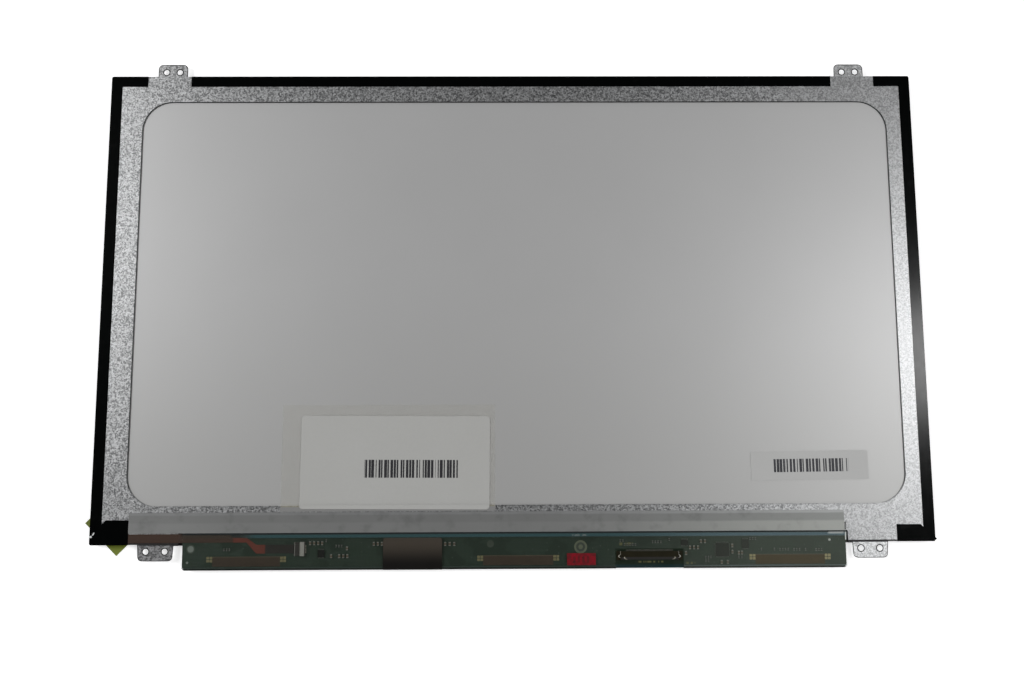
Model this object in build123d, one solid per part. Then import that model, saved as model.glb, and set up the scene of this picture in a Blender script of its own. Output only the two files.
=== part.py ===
from build123d import *
import os

# Back-lit laptop screen panel, lying screen down with its back up.
# Millimetres. X runs along the long side and Y towards the edge opposite the circuit board.
# Places are worked out from the middle of the taped body, and the finished
# pieces are then moved so that the origin is at the centre of the base.

# Body over the edge tapes
panel_width = 359.5
panel_height = 206.8
corner_radius = 0.8

# Thicknesses, from the screen side to the back
pull_tab_thickness = 0.10
front_film_thickness = 0.08
polariser_thickness = 0.20
glass_thickness = 0.30
rim_gap = 0.05
diffuser_thickness = 0.10
prism_thickness = 0.15
guide_thickness = 0.90
reflector_thickness = 0.20
plate_thickness = 0.30
tape_thickness = 0.08

# Picture area, as borders to the body's edges
picture_border_side = 7.65
picture_border_top = 4.3
picture_border_bottom = 9.0

# Screen cell
glass_border = 2.15
cell_gap = 0.30
polariser_margin = 0.35
rim_clearance = 0.20
rim_inset = 0.30
filter_margin = 3.6
ledge_width = 2.9

# Light guide and its sheets
guide_margin_side = 1.2
guide_margin_top = 0.5
guide_mixing_length = 2.2
guide_clearance = 0.30
sheet_inset = 0.15

# Light bar
led_length = 3.0
led_depth = 1.1
led_height = 0.75
led_pitch = 7.2
led_clearance = 0.05
flex_thickness = 0.10
light_bar_depth = 1.5
light_bar_end_gap = 2.3

# Back plate
flange_depth = 1.6
flange_clearance = 0.05
window_border_left = 14.85
window_border_right = 11.55
window_border_top = 12.2
window_border_bottom = 16.1
window_radius = 13.0
notch_depth = 4.8
pressed_line_left = 7.0
pressed_line_right = 3.8
pressed_line_top = 3.1
pressed_line_bottom = 2.8
pressed_line_radius = 3.0
pressed_line_width = 0.30
pressed_line_depth = 0.04

# Ears, two holes each
hole_diameter = 2.45
top_ear_inset = 26.85
top_ear_width = 13.2
top_ear_reach = 6.1
top_ear_taper = 0.05
top_ear_radius = 2.0
top_hole_offset = 2.5
top_hole_spacing = 6.0
bottom_ear_gap = 2.15
bottom_ear_width = 15.4
bottom_ear_taper = 0.45
bottom_ear_reach = 6.9
bottom_ear_radius = 1.8
bottom_hole_offset = 2.9
bottom_hole_spacing = 8.05
ear_clearance = 0.10

# Plastic frame
lower_wall_thickness = 0.60
lower_wall_gap = 0.10
board_shelf_thickness = 0.40
notch_sill_drop = 0.10
notch_stop_depth = 0.55
notch_stop_gap = 0.10

# Circuit board
board_left_inset = 39.15
board_right_inset = 38.15
board_tuck = 2.5
board_overhang = 10.6
board_thickness = 0.60
board_radius = 1.7
board_clearance = 0.40
notch_gap_left = 1.8
notch_gap_right = 0.8

# Clear film over the board
cover_thickness = 0.08
cover_gap = 0.02
cover_rise = 3.6
cover_margin = 0.20
cover_lip_depth = 1.1
cover_cutout_gap = 0.35

# Ribbon films between glass and board
driver_film_thickness = 0.08
driver_film_width = 34.4
driver_film_left_inset = 9.8
driver_film_right_inset = 7.0
driver_film_inset = 0.4
driver_film_slack = 3.3
driver_film_slope = 3.2
driver_film_bond = 5.0
driver_chip_length = 18.0
driver_chip_depth = 1.2
driver_chip_height = 0.30
driver_chip_gap = 0.7

# Signal connector, its middle measured from the board's right end
signal_from_end = 83.95
signal_drop = 2.9
signal_width = 24.2
signal_depth = 3.5
signal_height = 0.80
signal_floor = 0.19
signal_roof = 0.20
signal_mouth_depth = 2.2
signal_mouth_side = 1.3
signal_pins = 40
signal_pitch = 0.5
signal_pin_width = 0.24
signal_pin_thickness = 0.08
signal_tail = 0.65
shell_thickness = 0.15
shell_roof_depth = 2.4
shell_foot_length = 1.8
shell_foot_depth = 3.8

# Ribbon connector of the light bar, its middle measured from the board's left end and upper edge
socket_from_end = 49.7
socket_from_top = 4.5
socket_length = 4.6
socket_width = 5.8
socket_height = 0.55
socket_cheek = 0.95
socket_back = 1.8
socket_clearance = 0.05
socket_pins = 6
socket_pin_width = 0.25
socket_pin_length = 2.3
socket_pin_thickness = 0.08

# Light-bar ribbon on the back
ribbon_width = 3.7
ribbon_top_gap = 0.30
ribbon_neck_width = 2.0
ribbon_neck_length = 5.6
ribbon_jog_length = 4.2
ribbon_plug_width = 3.6
ribbon_plug_length = 18.9
ribbon_drop_length = 1.8
ribbon_edge_gap = 0.10

# Parts soldered to the board. Places are measured from the nearer end and the upper edge of the board.
chip_height = 0.55
timing_controller_size = (5.6, 5.4)
timing_controller_from_end = 52.9
timing_controller_from_top = 5.65
led_driver_size = (2.8, 3.0)
led_driver_from_end = 58.8
led_driver_from_top = 6.45
memory_size = (2.8, 3.6)
memory_from_end = 43.0
memory_from_top = 3.2
power_size = (3.0, 2.2)
power_from_end = 68.9
power_from_top = 2.6
capacitor_size = (0.8, 1.6, 0.5)
capacitor_pitch = (1.71, 2.6)
resistor_size = (0.5, 1.0, 0.25)
resistor_pitch = (1.17, 1.5)

# Patches of soldered parts: first part from the end and from the top, then the patch's length and width
capacitors_from_left = [
    (54.1, 2.1, 5.13, 0.0),
    (63.1, 7.55, 0.0, 0.0),
    (66.5, 7.55, 3.42, 0.0),
    (69.75, 4.35, 0.0, 0.0),
    (81.1, 2.5, 3.42, 0.0),
    (111.4, 2.7, 0.0, 0.0),
    (113.3, 2.7, 0.0, 0.0),
    (115.25, 2.7, 0.0, 0.0),
]
capacitors_from_right = [
    (68.4, 7.0, 0.0, 0.0),
    (66.65, 4.65, 3.42, 0.0),
    (61.95, 2.1, 1.71, 0.0),
    (53.3, 10.8, 0.0, 0.0),
    (50.7, 10.8, 0.0, 0.0),
    (48.6, 3.95, 0.0, 2.6),
    (45.85, 6.95, 0.0, 0.0),
    (44.55, 6.95, 0.0, 0.0),
]
resistors_from_left = [
    (17.6, 4.7, 2.34, 0.0),
    (60.85, 1.15, 0.0, 0.0),
    (65.1, 3.35, 2.34, 0.0),
]
resistors_from_right = [
    (96.3, 1.75, 1.17, 0.0),
    (94.5, 3.3, 4.68, 0.0),
    (82.5, 2.3, 3.51, 0.0),
    (75.4, 1.3, 0.0, 0.0),
    (60.0, 8.8, 1.17, 1.5),
    (57.8, 8.7, 0.0, 0.0),
    (45.9, 8.8, 0.0, 0.0),
    (44.6, 8.8, 0.0, 0.0),
    (40.9, 1.1, 2.34, 0.0),
    (36.2, 5.5, 0.0, 0.0),
    (30.6, 5.55, 0.0, 0.0),
    (28.2, 5.6, 3.51, 0.0),
    (22.2, 5.65, 2.34, 0.0),
    (17.3, 5.7, 0.0, 0.0),
    (12.8, 5.8, 2.34, 0.0),
]

# Edge tapes: lips on the back, lips on the screen side and gaps around the top ears
side_lip = 4.9
top_lip = 4.8
front_lip = 3.15
tape_gap_outside = 4.0
tape_gap_inside = 2.2

# Corner patches
patch_ear_gap = 3.45
left_patch_height = 10.4
left_patch_chamfer = 1.7
right_patch_height = 7.2
right_patch_chamfer = 1.2

# Grey band above the board
band_top = 13.4
band_right_gap = 0.6
joggle_length = 0.8

# Clear film and labels on the back
clear_film_inset = 65.5
clear_film_width = 91.6
clear_film_height = 45.3
clear_film_thickness = 0.05
label_thickness = 0.09
label_gap = 0.2
main_label_inset = 8.1
main_label_width = 81.1
main_label_height = 39.6
main_label_rise = 0.9
main_label_turn = -0.4
main_label_radius = 1.5
small_label_from_side = 15.6
small_label_from_bottom = 9.9
small_label_width = 50.6
small_label_height = 12.4
small_label_turn = 0.6
small_label_radius = 0.6

# Dark tape folded over the board's lower edge, and the red sticker
shield_from_middle = 43.5
shield_width = 25.0
shield_fold = 3.0
shield_radius = 1.0
sticker_connector_gap = 8.9
sticker_width = 12.2
sticker_height = 5.0
sticker_rise = 1.3
sticker_thickness = 0.04

# Pull tab of the protective film, at 45 degrees across the lower left corner
pull_tab_width = 19.6
pull_tab_length = 32.0
pull_tab_corner_x = 3.5
pull_tab_corner_y = 2.1

# How far a cutting shape reaches past what it cuts
cut_margin = 1.0


def block(x0, x1, y0, y1, z0, z1):
    middle = Pos((x0 + x1) / 2, (y0 + y1) / 2, (z0 + z1) / 2)
    return middle * Box(x1 - x0, y1 - y0, z1 - z0)


def rounded_block(x0, x1, y0, y1, z0, z1, radius):
    outline = Pos((x0 + x1) / 2, (y0 + y1) / 2, z0) * RectangleRounded(x1 - x0, y1 - y0, radius)
    return extrude(outline, amount=z1 - z0)


def prism(points, z0, z1):
    return extrude(Pos(0, 0, z0) * Polygon(*points, align=None), amount=z1 - z0, dir=(0, 0, 1))


# A bent sheet: the line of its lower face, thickened upwards and run along X or Y
def sheet_along_x(line, thickness, x0, x1):
    upper = [(y, z + thickness) for y, z in reversed(line)]
    face = Plane.YZ * Polygon(*line, *upper, align=None)
    return extrude(Pos(x0, 0, 0) * face, amount=x1 - x0)


def sheet_along_y(line, thickness, y0, y1):
    upper = [(x, z + thickness) for x, z in reversed(line)]
    face = Plane.XZ * Polygon(*line, *upper, align=None)
    return extrude(Pos(0, y1, 0) * face, amount=y1 - y0)


# Soldered parts in grids, each patch filled at the given pitch
def patches_of_parts(from_left, from_right, size, pitch):
    corners = [(board_left + x, y, across, down) for x, y, across, down in from_left]
    corners += [(board_right - x, y, across, down) for x, y, across, down in from_right]
    length, width, height = size
    solids = []
    for x, y, across, down in corners:
        for i in range(round(across / pitch[0]) + 1):
            for j in range(round(down / pitch[1]) + 1):
                part_x = x + i * pitch[0]
                part_y = board_top - y - j * pitch[1]
                solids.append(block(part_x - length / 2, part_x + length / 2, part_y - width / 2,
                                    part_y + width / 2, board_back, board_back + height))
    return Compound(solids)


def chip(x, from_top, size):
    y = board_top - from_top
    return block(x - size[0] / 2, x + size[0] / 2, y - size[1] / 2, y + size[1] / 2,
                 board_back, board_back + chip_height)


# Levels, from the floor up
film_front = pull_tab_thickness
polariser_front = film_front + front_film_thickness
filter_front = polariser_front + polariser_thickness
tft_front = filter_front + glass_thickness
tft_back = tft_front + glass_thickness
sheets_front = tft_back + polariser_thickness + rim_gap
upper_prism_front = sheets_front + diffuser_thickness
lower_prism_front = upper_prism_front + prism_thickness
lower_diffuser_front = lower_prism_front + prism_thickness
guide_front = lower_diffuser_front + diffuser_thickness
guide_back = guide_front + guide_thickness
plate_front = guide_back + reflector_thickness
plate_back = plate_front + plate_thickness
tape_back = plate_back + tape_thickness
ear_front = plate_back - flange_depth
ear_back = ear_front + plate_thickness
board_front = sheets_front + board_shelf_thickness
board_back = board_front + board_thickness
bar_front = guide_back - flex_thickness
cover_front = board_back + max(chip_height, capacitor_size[2], socket_height) + cover_gap
cover_back = cover_front + cover_thickness

# Edges of the body and of the picture
right_edge = panel_width / 2
left_edge = -right_edge
top_edge = panel_height / 2
bottom_edge = -top_edge
picture_right = right_edge - picture_border_side
picture_top = top_edge - picture_border_top
picture_bottom = bottom_edge + picture_border_bottom

# Edges of the plate and of the frame
plate_right = right_edge - tape_thickness
plate_top = top_edge - tape_thickness
frame_bottom = bottom_edge + tape_thickness
wall_inside = frame_bottom + lower_wall_thickness
plate_bottom = wall_inside + lower_wall_gap
frame_right = plate_right - plate_thickness - flange_clearance
frame_top = plate_top - plate_thickness - flange_clearance

# Edges of the light guide, the light bar and the opening that holds them
guide_right = picture_right + guide_margin_side
guide_top = picture_top + guide_margin_top
guide_bottom = picture_bottom - guide_mixing_length
bar_top = guide_bottom - led_clearance
bar_bottom = bar_top - light_bar_depth
bar_right = guide_right - light_bar_end_gap
opening_right = guide_right + guide_clearance
opening_top = guide_top + guide_clearance
opening_bottom = bar_bottom - led_clearance

# Edges of the screen cell
glass_right = right_edge - glass_border
glass_top = top_edge - glass_border
filter_bottom = picture_bottom - filter_margin
tft_bottom = filter_bottom - ledge_width
polariser_right = picture_right + polariser_margin
polariser_top = picture_top + polariser_margin
polariser_bottom = picture_bottom - polariser_margin

# Edges of the board, the notch for it, the lower ears and the corner patches
board_left = left_edge + board_left_inset
board_right = right_edge - board_right_inset
board_top = bottom_edge + board_tuck
board_bottom = bottom_edge - board_overhang
notch_left = board_left - notch_gap_left
notch_right = board_right + notch_gap_right
notch_top = bottom_edge + notch_depth
left_ear_x = notch_left - bottom_ear_gap - bottom_ear_width / 2
right_ear_x = notch_right + bottom_ear_gap + bottom_ear_width / 2
left_patch_edge = left_ear_x - bottom_ear_width / 2 - patch_ear_gap
right_patch_edge = right_ear_x + bottom_ear_width / 2 + patch_ear_gap
signal_x = board_right - signal_from_end
socket_x = board_left + socket_from_end
socket_y = board_top - socket_from_top
bottom_ear_places = (left_ear_x, right_ear_x)
top_ear_places = (left_edge + top_ear_inset, right_edge - top_ear_inset)

# Where the light-bar ribbon climbs through the plate, hidden under the corner patch
ribbon_top = notch_top - ribbon_top_gap
ribbon_bottom = ribbon_top - ribbon_width
riser_x = left_patch_edge + ribbon_edge_gap
slot_right = riser_x + flex_thickness + ribbon_edge_gap
slot_left = -bar_right - ribbon_edge_gap

# Window edges
window_left = left_edge + window_border_left
window_right = right_edge - window_border_right
window_top = top_edge - window_border_top
window_bottom = bottom_edge + window_border_bottom


def make_ear(x, width, taper, y_root, y_end, radius, hole_y, hole_spacing):
    root, end = width / 2, width / 2 - taper
    ear = prism([(x - root, y_root), (x + root, y_root), (x + end, y_end), (x - end, y_end)],
                ear_front, ear_back)
    outer = [edge for edge in ear.edges().filter_by(Axis.Z) if abs(edge.center().Y - y_end) < radius]
    ear = fillet(outer, radius)
    for side in (-1, 1):
        hole = Pos(x + side * hole_spacing / 2, hole_y, (ear_front + ear_back) / 2)
        ear -= hole * Cylinder(hole_diameter / 2, 2 * plate_thickness)
    return ear


# A shallow line pressed into the back around the window
def make_pressed_line():
    def outline(grow):
        return rounded_block(window_left - pressed_line_left - grow,
                             window_right + pressed_line_right + grow,
                             window_bottom - pressed_line_bottom - grow,
                             window_top + pressed_line_top + grow,
                             plate_back - pressed_line_depth, plate_back, pressed_line_radius + grow)
    return outline(pressed_line_width / 2) - outline(-pressed_line_width / 2)


def make_rear_plate():
    back = rounded_block(-plate_right, plate_right, -plate_top, plate_top,
                         ear_front, plate_back, corner_radius)
    inside = block(-plate_right + plate_thickness, plate_right - plate_thickness,
                   -plate_top - cut_margin, plate_top - plate_thickness, ear_front, plate_front)
    plate = back - inside
    plate -= block(-plate_right, plate_right, -plate_top, plate_bottom, ear_front, plate_back)
    plate -= rounded_block(window_left, window_right, window_bottom, window_top,
                           ear_front, plate_back, window_radius)
    plate -= block(notch_left, notch_right, plate_bottom, notch_top, ear_front, plate_back)
    plate -= block(slot_left, slot_right, plate_bottom, ribbon_top + ribbon_edge_gap,
                   ear_front, plate_back)
    plate -= make_pressed_line()
    for x in top_ear_places:
        plate += make_ear(x, top_ear_width, top_ear_taper, plate_top - plate_thickness,
                          top_edge + top_ear_reach, top_ear_radius,
                          top_edge + top_hole_offset, top_hole_spacing)
    for x in bottom_ear_places:
        riser_inside = plate_bottom + plate_thickness
        plate += block(x - bottom_ear_width / 2, x + bottom_ear_width / 2,
                       plate_bottom, riser_inside, ear_front, plate_back)
        plate += make_ear(x, bottom_ear_width, bottom_ear_taper, riser_inside,
                          bottom_edge - bottom_ear_reach, bottom_ear_radius,
                          bottom_edge - bottom_hole_offset, bottom_hole_spacing)
    return plate


def make_mould_frame():
    # Rails around the light guide, and a thin rim that locates the glass
    frame = block(-frame_right, frame_right, frame_bottom, frame_top, sheets_front, plate_front)
    rim = block(-frame_right, frame_right, frame_bottom, frame_top, filter_front, sheets_front)
    rim -= block(-glass_right - cell_gap, glass_right + cell_gap,
                 tft_bottom - cell_gap, glass_top + cell_gap, filter_front, sheets_front)
    rim -= block(left_patch_edge, right_patch_edge, frame_bottom, 0, filter_front, sheets_front)
    wall = block(-frame_right, frame_right, frame_bottom, wall_inside, plate_front, plate_back)
    frame = frame + rim + wall
    frame -= block(-opening_right, opening_right, opening_bottom, opening_top,
                   sheets_front, plate_front)
    # Seat of the board, with a sill between it and the light bar
    seat_top = board_top + board_clearance
    frame -= block(notch_left, notch_right, frame_bottom, seat_top, board_front, plate_back)
    frame -= block(notch_left, notch_right, seat_top, opening_bottom,
                   board_back - notch_sill_drop, plate_front)
    # Pocket for the ribbon, and slots that the lower ears pass through
    frame -= block(slot_left, slot_right, wall_inside, opening_bottom, bar_front, plate_front)
    for x in bottom_ear_places:
        half = bottom_ear_width / 2 + ear_clearance
        frame -= block(x - half, x + half, frame_bottom, wall_inside,
                       ear_front - ear_clearance, ear_back + ear_clearance)
        frame -= block(x - half, x + half, wall_inside, plate_bottom + plate_thickness + ear_clearance,
                       ear_front - ear_clearance, plate_front)
    frame = frame & rounded_block(-frame_right, frame_right, frame_bottom, frame_top,
                                  filter_front, plate_back, corner_radius)
    # Stops below the wall between each lower ear and the board, with a foot that reaches the board's end
    stop_low = frame_bottom - notch_stop_depth
    stops = [
        (notch_left - bottom_ear_gap + notch_stop_gap, notch_left, board_left - notch_stop_gap),
        (notch_right + bottom_ear_gap - notch_stop_gap, notch_right, board_right + notch_stop_gap),
    ]
    for ear_side, notch_side, board_side in stops:
        frame += block(*sorted((ear_side, notch_side)), stop_low, frame_bottom, sheets_front, plate_front)
        frame += block(*sorted((ear_side, board_side)), stop_low, frame_bottom, sheets_front, board_front)
    return frame


def make_light_stack():
    sheet_right = guide_right - sheet_inset
    sheet_top = guide_top - sheet_inset
    sheet_bottom = guide_bottom + sheet_inset
    layers = [
        ("upper_diffuser", sheets_front, diffuser_thickness),
        ("upper_prism_sheet", upper_prism_front, prism_thickness),
        ("lower_prism_sheet", lower_prism_front, prism_thickness),
        ("lower_diffuser", lower_diffuser_front, diffuser_thickness),
    ]
    stack = {name: block(-sheet_right, sheet_right, sheet_bottom, sheet_top, z, z + thickness)
             for name, z, thickness in layers}
    stack["light_guide"] = block(-guide_right, guide_right, guide_bottom, guide_top,
                                 guide_front, guide_back)
    stack["reflector_sheet"] = block(-guide_right, guide_right, bar_bottom, guide_top,
                                     guide_back, plate_front)
    return stack


def make_led_packages():
    count = int((2 * bar_right - led_length) / led_pitch) + 1
    first = -(count - 1) * led_pitch / 2
    solids = []
    for i in range(count):
        x = first + i * led_pitch
        solids.append(block(x - led_length / 2, x + led_length / 2, bar_top - led_depth, bar_top,
                            bar_front - led_height, bar_front))
    return Compound(solids)


def make_led_flex():
    bar = block(-bar_right, bar_right, bar_bottom, bar_top, bar_front, guide_back)
    riser_end = riser_x + flex_thickness
    bar += block(-bar_right, riser_end, ribbon_bottom, bar_bottom, bar_front, guide_back)
    bar += block(riser_x, riser_end, ribbon_bottom, ribbon_top, bar_front, plate_back + flex_thickness)
    # Over the plate, down to the board and into the connector
    drop_start = notch_left + ribbon_edge_gap
    plug_end = socket_x + socket_length / 2 - socket_back
    line = [(riser_x, plate_back), (drop_start, plate_back),
            (drop_start + ribbon_drop_length, board_back), (plug_end, board_back)]
    neck_end = plug_end - ribbon_plug_length - ribbon_jog_length
    neck_start = neck_end - ribbon_neck_length
    neck_top = ribbon_bottom + ribbon_neck_width
    plug_top = socket_y + ribbon_plug_width / 2
    plug_bottom = socket_y - ribbon_plug_width / 2
    jog_end = plug_end - ribbon_plug_length
    outline = [(riser_x, ribbon_top), (neck_start - ribbon_neck_width, ribbon_top),
               (neck_start, neck_top), (neck_end, neck_top), (jog_end, plug_top),
               (plug_end, plug_top), (plug_end, plug_bottom), (jog_end, plug_bottom),
               (neck_end, ribbon_bottom), (riser_x, ribbon_bottom)]
    ribbon = sheet_along_y(line, flex_thickness, plug_bottom - cut_margin,
                           ribbon_top + cut_margin)
    ribbon = ribbon & prism(outline, board_back - cut_margin, plate_back + cut_margin)
    return bar + ribbon


def make_screen_cell():
    polariser = (-polariser_right, polariser_right, polariser_bottom, polariser_top)
    rim = block(-glass_right + rim_inset, glass_right - rim_inset,
                tft_bottom + rim_inset, glass_top - rim_inset, tft_back, sheets_front)
    rim -= block(-polariser_right - rim_clearance, polariser_right + rim_clearance,
                 polariser_bottom - rim_clearance, polariser_top + rim_clearance,
                 tft_back, sheets_front)
    return {
        "rim_tape": rim,
        "rear_polariser": block(*polariser, tft_back, tft_back + polariser_thickness),
        "tft_glass": block(-glass_right, glass_right, tft_bottom, glass_top, tft_front, tft_back),
        "colour_filter_glass": block(-glass_right, glass_right, filter_bottom, glass_top,
                                     filter_front, tft_front),
        "front_polariser": block(*polariser, polariser_front, filter_front),
        "front_film": block(*polariser, film_front, polariser_front),
    }


def make_pull_tab():
    # The free end runs between two points outside the lower left corner
    tab = Pos(pull_tab_length / 2, 0, pull_tab_thickness / 2)
    tab *= Box(pull_tab_length, pull_tab_width, pull_tab_thickness)
    end = Pos(left_edge + pull_tab_corner_x, bottom_edge + pull_tab_corner_y, 0)
    return end * Rot(0, 0, 45) * tab


def make_driver_films():
    start = filter_bottom - driver_film_inset
    bend = tft_bottom - driver_film_slack
    bond_top = bend - driver_film_slope
    glass_level = tft_front - driver_film_thickness
    board_level = board_front - driver_film_thickness
    line = [(bond_top - driver_film_bond, board_level), (bond_top, board_level),
            (bend, glass_level), (start, glass_level)]
    chip_top = tft_bottom - driver_chip_gap
    films = {}
    first = board_left + driver_film_left_inset + driver_film_width / 2
    last = board_right - driver_film_right_inset - driver_film_width / 2
    for i, x in enumerate((first, (first + last) / 2, last)):
        films[f"driver_film_{i + 1}"] = sheet_along_x(line, driver_film_thickness,
                                                      x - driver_film_width / 2,
                                                      x + driver_film_width / 2)
        films[f"driver_chip_{i + 1}"] = block(x - driver_chip_length / 2, x + driver_chip_length / 2,
                                              chip_top - driver_chip_depth, chip_top,
                                              tft_front, tft_front + driver_chip_height)
    return films


def make_circuit_board():
    board = block(board_left, board_right, board_bottom, board_top, board_front, board_back)
    return fillet(board.edges().filter_by(Axis.Z).group_by(Axis.Y)[0], board_radius)


def make_signal_connector():
    left = signal_x - signal_width / 2
    right = signal_x + signal_width / 2
    back = bottom_edge - signal_drop - signal_tail
    mouth = back - signal_depth
    top = board_back + signal_height
    floor = board_back + signal_floor
    pin_span = (signal_pins - 1) * signal_pitch + signal_pin_width
    pin_top = floor + signal_pin_thickness
    housing = block(left, right, mouth, back, board_back, top)
    housing -= block(left + signal_mouth_side, right - signal_mouth_side,
                     mouth, mouth + signal_mouth_depth, floor, top - signal_roof)
    housing -= block(signal_x - pin_span / 2, signal_x + pin_span / 2, mouth, back, floor, pin_top)
    # Bent cover: roof, two cheeks and two solder feet
    shell = block(left - shell_thickness, right + shell_thickness,
                  back - shell_roof_depth, back, top, top + shell_thickness)
    for inner, outer in ((left, left - shell_thickness), (right, right + shell_thickness)):
        foot_end = outer + shell_foot_length * (1 if outer > inner else -1)
        shell += block(min(inner, outer), max(inner, outer), back - shell_foot_depth, back,
                       board_back, top)
        shell += block(min(inner, foot_end), max(inner, foot_end), back - shell_foot_depth, back,
                       board_back, board_back + shell_thickness)
    # Contacts: solder tail, step up and a finger along the floor of the mouth
    pins = []
    for i in range(signal_pins):
        x = signal_x + (i - (signal_pins - 1) / 2) * signal_pitch
        x0, x1 = x - signal_pin_width / 2, x + signal_pin_width / 2
        pin = block(x0, x1, back, back + signal_tail, board_back, board_back + signal_pin_thickness)
        pin += block(x0, x1, back, back + signal_pin_thickness, board_back, pin_top)
        pin += block(x0, x1, mouth + signal_pin_thickness, back + signal_pin_thickness, floor, pin_top)
        pins.append(pin)
    return {
        "signal_connector_housing": housing,
        "signal_connector_shell": shell,
        "signal_connector_contacts": Compound(pins),
    }


def make_led_connector():
    left = socket_x - socket_length / 2
    right = socket_x + socket_length / 2
    low = socket_y - socket_width / 2
    high = socket_y + socket_width / 2
    top = board_back + socket_height
    back = right - socket_back
    pin_top = board_back + socket_pin_thickness
    pin_pitch = ribbon_plug_width / socket_pins
    housing = block(left, right, low, high, board_back, top)
    housing -= block(left, back, low + socket_cheek, high - socket_cheek, board_back, top)
    housing -= block(back, right, socket_y - ribbon_plug_width / 2, socket_y + ribbon_plug_width / 2,
                     board_back, pin_top)
    latch = block(left + socket_clearance, back - socket_clearance,
                  low + socket_cheek + socket_clearance, high - socket_cheek - socket_clearance,
                  board_back + flex_thickness, top)
    latch = chamfer(latch.edges().filter_by(Axis.Y).group_by(Axis.Z)[-1].sort_by(Axis.X)[0],
                    socket_height / 3)
    pins = []
    for i in range(socket_pins):
        y = socket_y + (i - (socket_pins - 1) / 2) * pin_pitch
        pins.append(block(back, back + socket_pin_length, y - socket_pin_width / 2,
                          y + socket_pin_width / 2, board_back, pin_top))
    return {
        "led_connector_housing": housing,
        "led_connector_latch": latch,
        "led_connector_contacts": Compound(pins),
    }


def make_board_film():
    start = notch_top + cover_rise
    lip_back = board_bottom - cover_gap
    lip_front = lip_back - cover_thickness
    line = [(lip_front, cover_front), (board_top, cover_front),
            (notch_top, plate_back), (start, plate_back)]
    film = sheet_along_x(line, cover_thickness, left_patch_edge, board_right + cover_margin)
    film -= block(left_patch_edge, board_left - cover_margin, lip_front, notch_top,
                  cover_front - cut_margin, plate_back + cut_margin)
    film = fillet(film.edges().filter_by(Axis.Z).group_by(Axis.Y)[0], board_radius)
    # Lip folded down over the board's lower edge, between its rounded corners
    film += block(board_left + board_radius, board_right - board_radius, lip_front, lip_back,
                  cover_front - cover_lip_depth, cover_back)
    cutout = signal_width / 2 + shell_thickness + shell_foot_length + cover_cutout_gap
    film -= block(signal_x - cutout, signal_x + cutout, lip_front,
                  bottom_edge - signal_drop + cover_cutout_gap, board_front, cover_back)
    return film


def make_board_tape():
    top = bottom_edge + band_top
    step = notch_top + cover_rise
    line = [(notch_top, plate_back + cover_thickness), (step, plate_back + cover_thickness),
            (step + joggle_length, plate_back), (top, plate_back)]
    return sheet_along_x(line, tape_thickness, left_patch_edge, board_right - band_right_gap)


def make_shield_tape():
    middle = (board_left + board_right) / 2 - shield_from_middle
    x0 = middle - shield_width / 2
    x1 = middle + shield_width / 2
    lip_back = board_bottom - cover_gap - cover_thickness
    lip_front = lip_back - tape_thickness
    under = board_front - tape_thickness
    face = block(x0, x1, lip_front, board_top, cover_back, cover_back + tape_thickness)
    face = fillet(face.edges().filter_by(Axis.Z).group_by(Axis.Y)[-1], shield_radius)
    face += block(x0, x1, lip_front, lip_back, under, cover_back + tape_thickness)
    face += block(x0, x1, lip_front, board_bottom + shield_fold, under, board_front)
    return face


# A sheet that lies on the reflector and steps up onto the plate below the window
def stepped_sheet(level, thickness, x0, x1, y0, y1):
    rise = plate_back - plate_front
    line = [(y0, level + rise), (window_bottom, level + rise),
            (window_bottom + joggle_length, level), (y1, level)]
    return sheet_along_x(line, thickness, x0, x1)


def make_labels():
    film_bottom = bottom_edge + band_top + label_gap
    film_top = film_bottom + clear_film_height
    film_left = window_left + clear_film_inset
    film_right = film_left + clear_film_width
    clear = stepped_sheet(plate_front, clear_film_thickness, film_left, film_right,
                          film_bottom, film_top)
    main_x = film_left + main_label_inset + main_label_width / 2
    main_y = film_bottom + main_label_rise + main_label_height / 2
    outline = Rot(0, 0, main_label_turn) * RectangleRounded(main_label_width, main_label_height,
                                                           main_label_radius)
    outline = extrude(Pos(main_x, main_y, plate_front) * outline, amount=plate_back)
    main = stepped_sheet(plate_front + clear_film_thickness, label_thickness, film_left,
                         film_right, film_bottom, film_top) & outline
    small = Rot(0, 0, small_label_turn) * RectangleRounded(small_label_width, small_label_height,
                                                           small_label_radius)
    small_x = window_right - small_label_from_side - small_label_width / 2
    small_y = window_bottom + small_label_from_bottom + small_label_height / 2
    small = extrude(Pos(small_x, small_y, plate_front) * small, amount=label_thickness)
    return {"clear_film": clear, "main_label": main, "small_label": small}


def make_sticker():
    low = board_bottom + sticker_rise
    right = signal_x - signal_width / 2 - shell_thickness - shell_foot_length - sticker_connector_gap
    return block(right - sticker_width, right, low, low + sticker_height,
                 cover_back, cover_back + sticker_thickness)


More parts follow.
